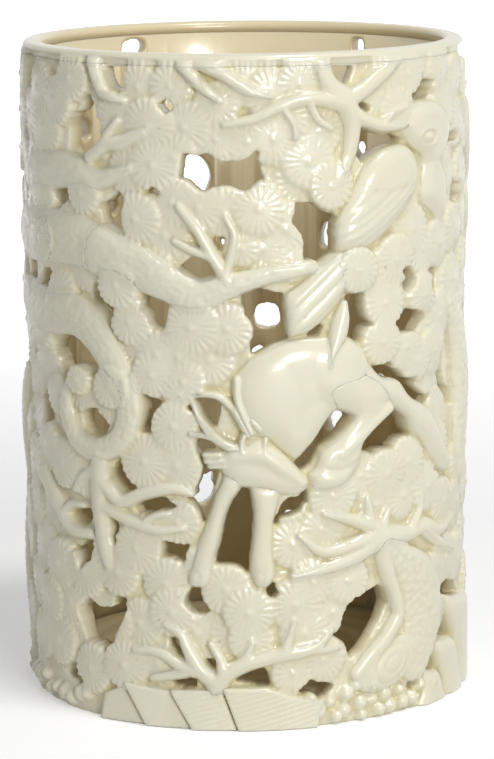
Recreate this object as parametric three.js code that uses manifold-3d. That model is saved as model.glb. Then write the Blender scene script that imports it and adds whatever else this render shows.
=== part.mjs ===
// A porcelain brush pot: a pierced clay tube with a lip and a floor, and a pine grove,
// a deer and a bird modelled on it in relief. Millimetres, +Z up, origin under the middle
// of the foot. The photographed front faces -Y.
import * as THREE from 'three';
import { mergeVertices } from 'three/addons/utils/BufferGeometryUtils.js';
import Module from 'manifold-3d';

const wasm = await Module();
wasm.setup();

// Driving dimensions of the thrown body
const potHeight = 125;
const wallRadius = 41.3;
const wallThickness = 3;
const lipHeight = 2.2;
const lipRounding = 1.2;
const lipArcs = 2;
const leastFlat = 0.2;
const floorThickness = 4;
const footRecess = 1;
const turnedSides = 48;

// Driving dimensions of the relief
const groundRise = 0.7;
const reliefShare = 0.65;
const tuftRise = 1.5;
const tuftSides = 6;
const tuftSlope = 1;
const jointGap = 0.3;
const floorGap = 0.3;
const footClearance = 0.4;
const limbStep = 6;
const arcsPerLimb = 4;
const moundShares = [1, 0.92, 0.7, 0.35];
const moundFullness = 3;
const moundCorners = 12;
const slabBevel = 0.7;
const pierceMargin = 2;
const openingCorners = 6;
const rootDepth = 0.8;
const cleanUp = 0.05;
const sameCorner = 1e-4;

// The drawing that the relief is set out on is unrolled from the wall: s runs right from the
// middle of the front, z runs up from the foot. It is stretched from corner to corner to fit
// the wall under the lip, and the rises drawn in it are taken at a share and grow with the
// wall's girth.
const drawingCorners = [[-133.5, 0], [133.5, 122.8]];
const drawnWidth = drawingCorners[1][0] - drawingCorners[0][0];
const drawnHeight = drawingCorners[1][1] - drawingCorners[0][1];

const boreRadius = wallRadius - wallThickness;
const groundRadius = wallRadius + groundRise;
const wallTop = potHeight - lipHeight;
const trenchTop = tuftRise + pierceMargin;
const upScale = wallTop / drawnHeight;
const girthScale = 2 * Math.PI * wallRadius / drawnWidth;
const riseScale = reliefShare * girthScale;

const glaze = { colour: 0xece4cb, roughness: 0.15 };
const glazeWarm = { colour: 0xe9dfc0, roughness: 0.16 };
const glazePale = { colour: 0xefe9d6, roughness: 0.14 };
const glazeInside = { colour: 0xe4d9b8, roughness: 0.2 };

// A length on the pot, in the drawing's units.
function drawn(length) {
  return length / girthScale;
}

// How far a rise drawn over the wall stands off it: what is over the ground is lowered.
function standing(rise) {
  return groundRise + (rise - groundRise) * riseScale;
}

// A place on the wall, lifted off it by that many millimetres.
function onWall(s, z, lift) {
  const angle = 2 * Math.PI * s / drawnWidth;
  const radius = wallRadius + lift;
  return [radius * Math.sin(angle), -radius * Math.cos(angle), z * upScale];
}

function solidFrom(positions, triangles) {
  const geometry = new THREE.BufferGeometry();
  geometry.setAttribute('position', new THREE.Float32BufferAttribute(positions, 3));
  geometry.setIndex(triangles);
  return solidOf(geometry);
}

function solidOf(geometry) {
  const bare = geometry.clone();
  bare.deleteAttribute('normal');
  bare.deleteAttribute('uv');
  const merged = mergeVertices(bare, sameCorner);
  return new wasm.Manifold(new wasm.Mesh({
    numProp: 3,
    vertProperties: new Float32Array(merged.attributes.position.array),
    triVerts: new Uint32Array(merged.index.array),
  }));
}

function join(solids) {
  return solids.reduce((whole, solid) => whole.add(solid));
}

// A turned solid: the profile is a list of [radius, z], closed on itself or on the axis.
function turned(profile) {
  const points = profile.map(([radius, z]) => new THREE.Vector2(radius, z));
  const geometry = new THREE.LatheGeometry(points, turnedSides);
  geometry.rotateX(Math.PI / 2);
  return outward(solidOf(geometry), geometry);
}

// Turning the lathe's axis upright keeps its faces pointing out, unless the profile ran the
// other way round: then the triangles are reversed.
function outward(solid, geometry) {
  if (solid.volume() > 0) return solid;
  const index = geometry.index.array;
  for (let i = 0; i < index.length; i += 3) {
    [index[i + 1], index[i + 2]] = [index[i + 2], index[i + 1]];
  }
  return solidOf(geometry);
}

function flatOutline(points) {
  return points.map(([across, up]) => new THREE.Vector2(across, up));
}

// A skin between rings of points with the same count, its ends closed by triangulating the
// outline that both ends share.
function loft(rings, capOutline) {
  const count = rings[0].length;
  const positions = rings.flat(2);
  const triangles = [];
  for (let k = 0; k + 1 < rings.length; k++) {
    for (let i = 0; i < count; i++) {
      const j = (i + 1) % count;
      const a = k * count + i;
      const b = k * count + j;
      triangles.push(a, b, b + count, a, b + count, a + count);
    }
  }
  const caps = THREE.ShapeUtils.triangulateShape(capOutline, []);
  const sameWay = THREE.ShapeUtils.area(capOutline)
    * THREE.ShapeUtils.area(caps[0].map((i) => capOutline[i])) > 0;
  const last = (rings.length - 1) * count;
  for (const cap of caps) {
    const [a, b, c] = sameWay ? cap : cap.toReversed();
    triangles.push(a, c, b, last + a, last + b, last + c);
  }
  const solid = solidFrom(positions, triangles);
  if (solid.volume() > 0) return solid;
  for (let i = 0; i < triangles.length; i += 3) {
    [triangles[i + 1], triangles[i + 2]] = [triangles[i + 2], triangles[i + 1]];
  }
  return solidFrom(positions, triangles);
}

// An outline in the drawing, moved outward by a length on the pot, along the mean of its
// edges' normals.
function offset(outline, grow) {
  const turn = Math.sign(THREE.ShapeUtils.area(flatOutline(outline)));
  return outline.map(([s, z], i) => {
    const [s0, z0] = outline[(i + outline.length - 1) % outline.length];
    const [s1, z1] = outline[(i + 1) % outline.length];
    const before = new THREE.Vector2(z - z0, s0 - s).normalize();
    const after = new THREE.Vector2(z1 - z, s - s1).normalize();
    const normal = before.add(after).normalize().multiplyScalar(turn * drawn(grow));
    return [s + normal.x, z + normal.y];
  });
}

// A block standing on the wall: its outline at the root, drawn in by inset at the top.
function block(outline, low, high, grow = 0, inset = 0) {
  const root = offset(outline, grow);
  const top = offset(outline, grow - inset);
  const rings = [root.map(([s, z]) => onWall(s, z, low)), top.map(([s, z]) => onWall(s, z, high))];
  return loft(rings, flatOutline(outline));
}

function middleOf(outline) {
  return outline.reduce(([a, b], [s, z]) => [a + s / outline.length, b + z / outline.length], [0, 0]);
}

// A straight-sided block square to the wall at the middle of its outline.
function straightBlock(outline, low, high, inset = 0) {
  const middle = middleOf(outline);
  const angle = 2 * Math.PI * middle[0] / drawnWidth;
  const [outX, outY] = [Math.sin(angle), -Math.cos(angle)];
  const [rightX, rightY] = [-outY, outX];
  const place = ([s, z], lift) => {
    const across = (s - middle[0]) * girthScale;
    const out = wallRadius + lift;
    return [out * outX + across * rightX, out * outY + across * rightY, z * upScale];
  };
  const foot = outline.map((point) => place(point, low));
  const top = offset(outline, -inset).map((point) => place(point, high));
  return loft([foot, top], flatOutline(outline));
}

// An opening cut straight through the wall, as with a knife.
function piercing(outline) {
  return straightBlock(outline, -wallThickness - pierceMargin, trenchTop);
}

function roundOutline([s, z, width, height, turn = 0], corners) {
  const tilt = THREE.MathUtils.degToRad(turn);
  return Array.from({ length: corners }, (_, i) => {
    const angle = 2 * Math.PI * (i + 0.5) / corners;
    const across = width / 2 * Math.cos(angle);
    const along = height / 2 * Math.sin(angle);
    return [
      s + across * Math.cos(tilt) - along * Math.sin(tilt),
      z + across * Math.sin(tilt) + along * Math.cos(tilt),
    ];
  });
}

// A round tuft of pine needles seen from above: a low disc with a sloping edge.
function tuft([s, z, radius]) {
  const outline = roundOutline([s, z, 2 * radius, 2 * radius], tuftSides);
  return straightBlock(outline, -rootDepth, tuftRise, tuftSlope);
}

// Stations along a limb: its points are [s, z, half width, rise above the wall] as drawn.
function stations(points) {
  const path = new THREE.CatmullRomCurve3(points.map(([s, z, half]) => new THREE.Vector3(s, z, half)));
  const found = [];
  for (let i = 0; i + 1 < points.length; i++) {
    const span = Math.hypot(points[i + 1][0] - points[i][0], points[i + 1][1] - points[i][1]);
    const steps = Math.max(1, Math.round(span / drawn(limbStep)));
    const first = i === 0 ? 0 : 1;
    for (let k = first; k <= steps; k++) {
      const t = (i + k / steps) / (points.length - 1);
      const at = path.getPoint(t);
      const ahead = path.getTangent(t);
      const along = new THREE.Vector2(ahead.x, ahead.y).normalize();
      const rise = THREE.MathUtils.lerp(points[i][3], points[i + 1][3], k / steps);
      found.push({ s: at.x, z: at.y, half: at.z, rise: standing(rise), along });
    }
  }
  return found;
}

function limbRings(points, grow, section) {
  const found = stations(points);
  const last = found.length - 1;
  return found.map(({ s, z, half, rise, along }, k) => {
    const push = k === 0 ? -drawn(grow) : k === last ? drawn(grow) : 0;
    return section(half + drawn(grow), rise + grow).map(([across, lift]) => onWall(
      s + along.x * push - along.y * across,
      z + along.y * push + along.x * across,
      lift,
    ));
  });
}

// A half-round section whose foot is sunk in the wall, where the clay is pressed on.
function halfRound(half, rise) {
  return Array.from({ length: arcsPerLimb + 1 }, (_, i) => {
    const angle = Math.PI * i / arcsPerLimb;
    return [half * Math.cos(angle), (rise + rootDepth) * Math.sin(angle) - rootDepth];
  });
}

// A trench's square section, deep and high enough to clear the tufts.
function boxSection(half) {
  return [[half, -rootDepth], [half, trenchTop], [-half, trenchTop], [-half, -rootDepth]];
}

// Rings of a rounded mound over an outline, each drawn in towards the middle and lifted more.
function moundRings(outline, rise) {
  const [middleS, middleZ] = middleOf(outline);
  return moundShares.map((share, k) => {
    const lift = k === 0 ? -rootDepth : rise * Math.sqrt(1 - share ** moundFullness);
    const drawnIn = ([s, z]) => [middleS + (s - middleS) * share, middleZ + (z - middleZ) * share];
    return outline.map(drawnIn).map(([s, z]) => onWall(s, z, lift));
  });
}

// The kinds of form that the relief is made of. Each is made at its own size, grown by a
// clearance, or as the straight-sided trench that it leaves in the tufts round it.
const forms = {
  limb: {
    highest: (points) => Math.max(...points.map(([, , , rise]) => rise)),
    solid: (points, grow) => loft(limbRings(points, grow, halfRound), flatOutline(halfRound(1, 1))),
    trench: (points) => loft(limbRings(points, jointGap, boxSection), flatOutline(boxSection(1))),
  },
  slab: {
    highest: ({ rise }) => rise,
    solid: ({ outline, rise }, grow) => block(
      outline,
      -rootDepth,
      standing(rise) + grow,
      grow,
      slabBevel,
    ),
    trench: ({ outline }) => block(outline, -rootDepth, trenchTop, jointGap),
  },
  mound: {
    highest: ({ rise }) => rise,
    solid: ({ outline, rise }, grow) => loft(
      moundRings(offset(outline, grow), standing(rise) + grow),
      flatOutline(outline),
    ),
    trench: ({ outline }) => block(outline, -rootDepth, trenchTop, jointGap),
  },
};

const limb = (...points) => ({ kind: 'limb', shape: points });
const slab = (rise, ...outline) => ({ kind: 'slab', shape: { outline, rise } });
const mound = (rise, ...outline) => ({ kind: 'mound', shape: { outline, rise } });
const dome = (rise, ...oval) => mound(rise, ...roundOutline(oval, moundCorners));

const solidForm = ({ kind, shape }, grow) => forms[kind].solid(shape, grow);
const trenchForm = ({ kind, shape }) => forms[kind].trench(shape);
const highestOf = ({ kind, shape }) => forms[kind].highest(shape);

// The relief's separate pieces, the topmost first: a later piece is cut back from the
// earlier ones by the joint gap.
const relief = [
  { name: 'deer_body', finish: glazePale, made: [
    mound(4.2, [-2.9, 64.5], [-2.2, 67.4], [0.6, 70.2], [5, 72.4], [11, 73.2], [17, 73.3],
      [20.4, 73], [23.6, 69], [24.6, 64], [22.4, 61], [19, 59.8], [15.8, 58.9], [12.9, 54.2],
      [8.6, 50.4], [4.2, 54], [0, 58.2], [-2.6, 62.4]),
  ] },
  { name: 'deer_head', finish: glazePale, made: [
    mound(3.8, [-6.4, 52.6], [-3, 55.6], [1.6, 57.4], [5.6, 53.8], [9.7, 50], [12, 46.8],
      [9.6, 44.7], [4.6, 45], [-1, 45.8], [-4.4, 49.2]),
  ] },
  { name: 'deer_left_antler', finish: glaze, made: [
    limb([-4.6, 55.2, 0.9, 2.9], [-6.6, 57.4, 0.85, 2.9], [-9.2, 61.4, 0.7, 2.6]),
  ] },
  { name: 'deer_right_antler', finish: glaze, made: [
    limb([-1.6, 59.4, 0.9, 3.2], [-3.2, 61.8, 0.85, 3], [-5.6, 63.2, 0.8, 2.8],
      [-9.2, 63.4, 0.7, 2.5]),
  ] },
  { name: 'deer_near_hindleg', finish: glazePale, made: [
    limb([23.4, 63, 3, 3.8], [28, 59.4, 2, 3.6]),
    limb([28, 59.8, 2.1, 3.6], [25, 57.2, 2.2, 3.6], [21.4, 54.4, 2.1, 3.6], [17.6, 51.4, 2.3, 3.6],
      [14, 48.6, 2.8, 3.4], [12, 47.4, 1.8, 2.8]),
  ] },
  { name: 'deer_tail', finish: glazePale, made: [
    limb([17.2, 74.6, 2.1, 3.2], [18.2, 76.6, 1.7, 2.8], [18.7, 79.2, 0.9, 2.2]),
  ] },
  { name: 'deer_far_hindleg', finish: glaze, made: [
    limb([25.4, 67, 2.6, 3], [29.4, 63, 2.8, 3.1], [35, 59, 2.8, 3.1], [41, 53.4, 3, 3],
      [46.5, 46.8, 2.9, 2.8]),
  ] },
  { name: 'deer_left_foreleg', finish: glazePale, made: [
    limb([-4.4, 48.6, 2.4, 2.8], [-5.2, 45, 2.3, 3], [-6.4, 40, 2, 3], [-7.8, 35, 1.9, 2.8],
      [-9.2, 28.6, 2.4, 2.8]),
  ] },
  { name: 'deer_right_foreleg', finish: glazePale, made: [
    limb([2.6, 44.6, 2.2, 2.8], [3, 41, 2.1, 3], [3, 36, 1.9, 3], [2.4, 28.8, 2.3, 2.8]),
  ] },
  { name: 'bird_wing', finish: glazePale, made: [
    mound(3.9, [23.2, 105.2], [28, 107.4], [34, 107.2], [36.4, 104.8], [37.4, 101.4], [36.4, 97.8],
      [33.6, 94.4], [29.6, 91.8], [20.6, 88.8], [17.4, 88.6], [17.8, 95.4], [20.6, 101.6]),
  ] },
  { name: 'bird_head_and_breast', finish: glazePale, made: [
    mound(4, [33, 109.6], [33.6, 113], [37.4, 115.3], [44.6, 114], [48.6, 109.4], [46.8, 104.4],
      [44.4, 100.2], [43, 99.9], [39.8, 102.6], [35.6, 105.6]),
    limb([45.4, 101.4, 2, 2.6], [46.4, 96, 2.4, 2.4], [45.6, 92, 2, 2]),
  ] },
  { name: 'bird_tail', finish: glaze, made: [
    mound(3.1, [21.6, 86.4], [20.2, 88.4], [17.4, 88.4], [9.6, 83], [7.2, 81.2], [7.3, 77.4],
      [7.8, 73.8], [11, 74.4], [15.6, 77.2], [19.2, 81.4]),
  ] },
  { name: 'branch_below_tail', finish: glazeWarm, made: [
    limb([12.5, 86.3, 1.2, 1.8], [5, 85, 1.5, 2.2], [-3, 83.2, 1.9, 2.4], [-9, 82, 2.4, 2.6],
      [-15, 84.6, 2.8, 3], [-22, 88.6, 3, 3], [-28.4, 90.6, 3, 3]),
    limb([-3.6, 84.6, 1.1, 2.4], [-6.4, 89, 1.2, 2.4], [-9.3, 93.4, 1, 2.2],
      [-12.3, 97.5, 0.7, 1.8]),
    limb([-6, 88.6, 0.9, 2], [-9.4, 90.2, 0.8, 1.8], [-12.8, 91.6, 0.6, 1.6]),
    limb([-4.2, 85.6, 0.9, 2.2], [-2.6, 89.4, 0.8, 2], [-1.8, 93.2, 0.6, 1.8]),
  ] },
  { name: 'upper_left_trunk', finish: glazeWarm, made: [
    limb([-29, 90.8, 3.4, 3.2], [-36, 93.8, 3.9, 3.4], [-43, 92.4, 4.2, 3.4], [-53, 91, 4.4, 3]),
  ] },
  { name: 'curled_trunk', finish: glazeWarm, made: [
    limb([-54, 76, 4.2, 2.6], [-44, 76, 4.2, 3], [-36, 75.8, 3.8, 3], [-30, 71.8, 3.5, 3],
      [-25.8, 66.8, 3.2, 3], [-22.7, 61, 2.8, 3], [-23.6, 55.4, 2.5, 3], [-27.4, 51.6, 2.3, 3],
      [-32, 50.6, 2.2, 3], [-36, 52.8, 2, 2.8], [-38.4, 57, 1.7, 2.5], [-38, 61.4, 1.4, 2.2]),
  ] },
  { name: 'lower_left_branch', finish: glazeWarm, made: [
    limb([-29.6, 48, 2, 2.6], [-29.8, 43, 2.2, 2.8], [-29.4, 37, 2, 2.6], [-28.6, 30.6, 1.4, 2]),
    limb([-29, 45.4, 1.6, 2.6], [-25, 42.2, 1.3, 2.4], [-20, 44.4, 1.2, 2.4], [-14, 45.3, 1, 2.2],
      [-10.8, 44.8, 0.7, 1.8]),
    limb([-28.6, 40.8, 1.4, 2.4], [-23, 38.7, 1.2, 2.2], [-17, 37.3, 0.9, 2], [-12, 38, 0.6, 1.6]),
  ] },
  { name: 'left_side_branch', finish: glazeWarm, made: [
    limb([-46, 42, 2, 2.4], [-41.6, 38.6, 1.8, 2.4], [-38, 35, 1.5, 2.2], [-33, 35, 1.1, 1.8]),
  ] },
  { name: 'upper_left_branch', finish: glazeWarm, made: [
    limb([-47, 101.6, 3.6, 2.8], [-40, 102.4, 3.2, 2.8], [-33, 104.2, 2.4, 2.8],
      [-27, 103.5, 1.8, 2.6], [-22.6, 104.6, 1, 2.1]),
    limb([-33, 104.6, 1.7, 2.7], [-28, 107.1, 1.6, 2.7], [-23.4, 107.5, 1.3, 2.4],
      [-19.2, 111, 0.8, 2.1]),
  ] },
  { name: 'rim_branch_left', finish: glazeWarm, made: [
    limb([-29.6, 122.8, 1.5, 2], [-28.6, 119.4, 1.5, 2.4], [-27.2, 117.4, 1.3, 2.4],
      [-23, 116.4, 0.8, 2]),
  ] },
  { name: 'rim_branch_middle', finish: glazeWarm, made: [
    limb([-10.4, 122.8, 1.4, 2], [-8, 119.8, 1.4, 2.4], [-4.2, 116.8, 0.9, 2.1]),
    limb([-8.6, 122.8, 1.5, 2], [-3.6, 121.3, 1.4, 2.4], [0.8, 118.6, 1.2, 2.4],
      [5, 117.4, 0.8, 2]),
  ] },
  { name: 'rim_branch_right', finish: glazeWarm, made: [
    limb([14.4, 122.8, 1.7, 2.2], [16, 119.2, 1.8, 2.8], [19, 116.4, 2.1, 3], [20.4, 112, 1.9, 2.9],
      [20.2, 107, 1.5, 2.6], [18, 102, 1, 2.2]),
    limb([19.4, 116, 1.9, 2.9], [23.6, 118.4, 1.7, 2.7], [28.4, 121.6, 1.4, 2.4],
      [30.6, 122.8, 1.2, 2]),
    limb([20, 114.6, 1.8, 2.9], [23.4, 112.4, 1.5, 2.7], [28, 111, 1.2, 2.5], [33, 111, 0.8, 2.1]),
    limb([19.4, 115.6, 1.8, 2.9], [12.4, 117, 1.5, 2.7], [6.6, 115.6, 1.3, 2.5],
      [2, 113.6, 1.1, 2.3], [-3.2, 112.4, 0.8, 2]),
  ] },
  { name: 'right_trunk_with_knot', finish: glazeWarm, made: [
    dome(3.5, 28.2, 10.4, 14.4, 9.6, 8),
    limb([24.6, 13.4, 2, 2.8], [29, 17.2, 2.3, 2.8], [31, 22, 2.2, 2.8], [30, 27.6, 2, 2.8],
      [28, 32.6, 2, 2.8]),
    limb([33.4, 9.6, 3, 2.6], [36.6, 14.6, 4.2, 2.8], [38, 20.6, 4.4, 2.8], [40.4, 26.6, 3, 2.6]),
  ] },
  { name: 'right_branch', finish: glaze, made: [
    limb([27.6, 35, 2.3, 3.1], [22, 32.2, 1.8, 2.9], [15.6, 30.3, 1.4, 2.6], [8.8, 29, 0.8, 2.1]),
    limb([26, 35.4, 2, 3.1], [19.6, 33.8, 1.4, 2.8], [14.2, 33.3, 1.2, 2.6], [9.8, 36.6, 0.8, 2.1]),
    limb([25.6, 36.6, 1.8, 2.9], [20.4, 38.7, 1.3, 2.6], [14.8, 40.4, 0.8, 2.1]),
    limb([24.4, 37.2, 1.4, 2.7], [23.4, 42.6, 0.8, 2.1]),
    limb([27.6, 35, 2.2, 3.1], [33.6, 34.2, 1.8, 2.8], [39, 35, 1.6, 2.6], [44, 33.2, 1.4, 2.4],
      [49.2, 34.8, 0.9, 2]),
    limb([38, 34.6, 1.5, 2.6], [44, 30.8, 1.3, 2.4], [49.2, 28.7, 0.8, 2]),
  ] },
  { name: 'right_edge_trunk', finish: glazeWarm, made: [
    limb([50, 72.6, 2.6, 2.2], [53.4, 66, 3.4, 3], [54.6, 59, 3.6, 3.2], [54.4, 51, 3.2, 2.8],
      [54.6, 44, 2.4, 2.2]),
  ] },
  { name: 'foot_branches', finish: glaze, made: [
    limb([-6.4, 8.6, 1.6, 2.6], [-4, 10.6, 1.6, 2.8], [2, 12.1, 1.6, 2.8], [8, 14, 1.4, 2.6],
      [13, 15.2, 1.1, 2.4], [15.8, 18.4, 0.8, 2]),
    limb([-6.2, 9, 1.5, 2.6], [-9.8, 12.2, 1.4, 2.6], [-11.5, 17, 1.1, 2.4], [-14.6, 20.4, 0.8, 2]),
    limb([-9, 11.4, 1.2, 2.4], [-14, 12.5, 1.1, 2.2], [-19, 14.4, 0.9, 2.1], [-22.2, 14, 0.7, 1.9]),
    limb([-4.6, 10.8, 1.2, 2.6], [-6.6, 16.6, 0.8, 2]),
    limb([-0.2, 12, 1.2, 2.6], [0.9, 17, 0.8, 2]),
    limb([8, 14.4, 1.1, 2.4], [8.2, 21, 0.8, 2]),
  ] },
  { name: 'rock_slab_outer_left', finish: glaze, made: [
    slab(2.2, [-27.8, -1], [-27.8, 5], [-24.6, 7], [-19.4, -1]),
  ] },
  { name: 'rock_slab_left', finish: glaze, made: [
    slab(2.4, [-24.3, 7.8], [-15.4, 6.8], [-10, -1], [-18.9, -1]),
  ] },
  { name: 'rock_slab_middle', finish: glaze, made: [
    slab(2.6, [-14.6, 7], [-5.4, 7.6], [-2, -1], [-9.6, -1]),
  ] },
  { name: 'rock_slab_right', finish: glaze, made: [
    slab(2.6, [-5, 7.6], [3.8, 7.8], [8.6, 6], [13.6, 4.6], [12.6, -1], [-1.6, -1]),
  ] },
  { name: 'rock_step_low', finish: glaze, made: [
    slab(2.2, [38.4, 7.2], [41, 5.8], [43.6, 5.8], [45.4, 2.6], [47, -1], [37.2, -1], [38.2, 3]),
  ] },
  { name: 'rock_step_middle', finish: glaze, made: [
    slab(2.6, [41.8, 11.6], [46, 11.3], [50.4, 10.8], [52.8, 5.6], [55.4, -1], [48.2, -1],
      [45.6, 4.4], [43, 8.4]),
  ] },
  { name: 'rock_step_high', finish: glaze, made: [
    slab(2.4, [47, 19.6], [52, 18.4], [58, 17.4], [62.4, 16.4], [62.4, -1], [56.4, -1], [53.6, 5.6],
      [51, 11.4], [48.6, 15]),
  ] },
  { name: 'back_trunk', finish: glazeWarm, made: [
    limb([-108, 6, 5.4, 3], [-104, 18, 4.6, 3.2], [-108, 32, 4.2, 3.2], [-115, 44, 3.8, 3.2],
      [-111, 58, 3.4, 3], [-102, 74, 3, 2.8], [-106, 88, 2.4, 2.6]),
    limb([-113.4, 43, 2.6, 2.8], [-121, 48, 2, 2.6], [-129, 51, 1.2, 2]),
    limb([-103, 73, 2.2, 2.6], [-94, 80, 1.8, 2.4], [-86, 84, 1.2, 2]),
  ] },
  { name: 'back_high_branch', finish: glazeWarm, made: [
    limb([-118, 109, 1, 2], [-124, 103, 1.5, 2.4], [-131, 102.4, 2, 2.6], [-140, 106, 2.4, 2.8],
      [-149, 104, 2.6, 2.8], [-157, 97, 2.8, 2.8]),
    limb([-140, 106, 1.8, 2.6], [-144, 112, 1.2, 2.2], [-151, 115, 0.8, 1.8]),
  ] },
  { name: 'far_side_trunk', finish: glazeWarm, made: [
    limb([92, 8, 5, 3], [96, 20, 4.4, 3.2], [93, 34, 4, 3.2], [86, 46, 3.6, 3.2], [88, 56, 3.2, 3],
      [97, 68.6, 2.6, 2.8], [105, 76, 1.6, 2.2]),
    limb([87, 46, 2.4, 2.8], [79, 52, 2, 2.6], [73, 51, 1.2, 2]),
    limb([92, 37, 2.2, 2.8], [101, 43, 1.8, 2.4], [105, 51, 1, 2]),
  ] },
  { name: 'left_side_trunk', finish: glazeWarm, made: [
    limb([-74, 10, 4.4, 2.8], [-70, 24, 4, 3], [-74, 38, 3.4, 3], [-68, 50, 3, 2.8],
      [-61.4, 58, 2.2, 2.4]),
    limb([-73, 39, 2.2, 2.6], [-82, 46, 1.8, 2.4], [-88, 45, 1.2, 2]),
  ] },
  { name: 'right_side_branch', finish: glazeWarm, made: [
    limb([64, 106, 2.4, 2.6], [70, 98, 2.6, 2.8], [78, 94, 2.4, 2.8], [86, 98, 1.8, 2.4],
      [91, 106, 1.1, 2]),
    limb([78, 94, 1.8, 2.6], [81, 86, 1.4, 2.4], [88, 82, 0.9, 2]),
  ] },
  { name: 'back_rock_low', finish: glaze, made: [
    slab(2.2, [-132, -1], [-133, 6.4], [-127, 9.6], [-121.4, 7.4], [-121.4, -1]),
  ] },
  { name: 'back_rock_high', finish: glaze, made: [
    slab(2.6, [-121, -1], [-121, 7.2], [-116.4, 10.6], [-111, 9.4], [-111, -1]),
  ] },
  { name: 'far_side_rock_low', finish: glaze, made: [
    slab(2.2, [73, -1], [73, 6], [79, 8.4], [84.4, 6.6], [84.4, -1]),
  ] },
  { name: 'far_side_rock_high', finish: glaze, made: [
    slab(2.6, [100.6, -1], [100.6, 8], [106, 11], [112, 8], [112, -1]),
  ] },
];

// Round tufts of pine needles that cover the wall between the limbs: [s, z, radius]
const tufts = [
  [-20, 119, 4], [-13.5, 119.3, 4], [-25, 112.4, 5.2], [-17.6, 111.6, 5.2], [-11, 112, 5],
  [-5, 109.5, 4.6], [5, 118, 5], [5.4, 109.6, 4.8], [12, 105.6, 5.4], [14.2, 111, 4.4],
  [27, 116.6, 4.6], [34.5, 117.6, 4.4], [-17, 104.6, 5], [-20.6, 95, 5], [-13.4, 98.6, 4.6],
  [-14.6, 92, 5], [-4.6, 97, 5], [3, 95.6, 5.2], [4.4, 89, 5], [-24.4, 82.6, 5], [-21.6, 74, 4.6],
  [-10, 75.4, 5.4], [-3.4, 75.4, 5.2], [-6.6, 69.4, 5], [-14.6, 69.6, 5.2], [-33.6, 62, 4.8],
  [-13.6, 57.4, 5], [-19.5, 50.4, 5.2], [-13, 49.6, 5.2], [-14.4, 39.6, 4], [-20.6, 33.6, 5.2],
  [-15.4, 27.2, 5], [-15, 20.6, 5], [-4, 25.4, 5.2], [2, 20.4, 5.2], [-37, 85, 5], [-45, 110, 5.4],
  [-42, 118, 5], [-40, 47, 5.2], [-50, 46, 5.2], [-47, 62, 4.6], [-34, 27.4, 5], [-43, 25, 5.2],
  [-42.6, 14.4, 5.2], [-32, 9, 5], [-20.6, 10.6, 4.6], [-51, 16, 5.4], [10.4, 23.4, 5],
  [12.6, 12, 4.6], [17, 44.6, 4.6], [24, 47, 5], [31.4, 47.6, 4.8], [37.4, 42.6, 4.8],
  [29, 87.6, 5], [37, 89.6, 5], [29, 77.6, 5], [39.6, 70, 4.6], [47, 88, 5], [47, 117, 5],
  [44.6, 24, 5.2], [62, 115, 5.4], [71, 111, 5.4], [63, 82, 5.4], [71, 82, 5.4], [66, 41, 5.4],
  [64, 26, 5.2], [82, 30, 5], [106, 28, 5.4], [110, 61, 5.4], [117, 68, 5.4], [124, 76, 5.2],
  [102, 91, 5.4], [99, 115, 5.4], [113, 111, 5.4], [128, 40, 5.4], [121, 15, 5.4], [-68, 110, 5.4],
  [-77, 107, 5.4], [-72, 90, 5.4], [-66, 80, 5.2], [-86, 66, 5.4], [-79, 61, 5.2], [-88, 31, 5.4],
  [-84, 20, 5], [-95, 53, 5.4], [-119, 20, 5.2], [-124, 70, 5.4], [-118, 80, 5.2], [-102, 106, 5.4],
  [16.4, 101, 4.8], [7.4, 93.4, 5], [-26.6, 61.5, 5.4], [-25.6, 28.6, 5], [0.6, 17.2, 4.6],
  [-8.4, 97.6, 4.8], [8.6, 88, 4.6], [-5, 116, 4.4],
];

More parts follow.
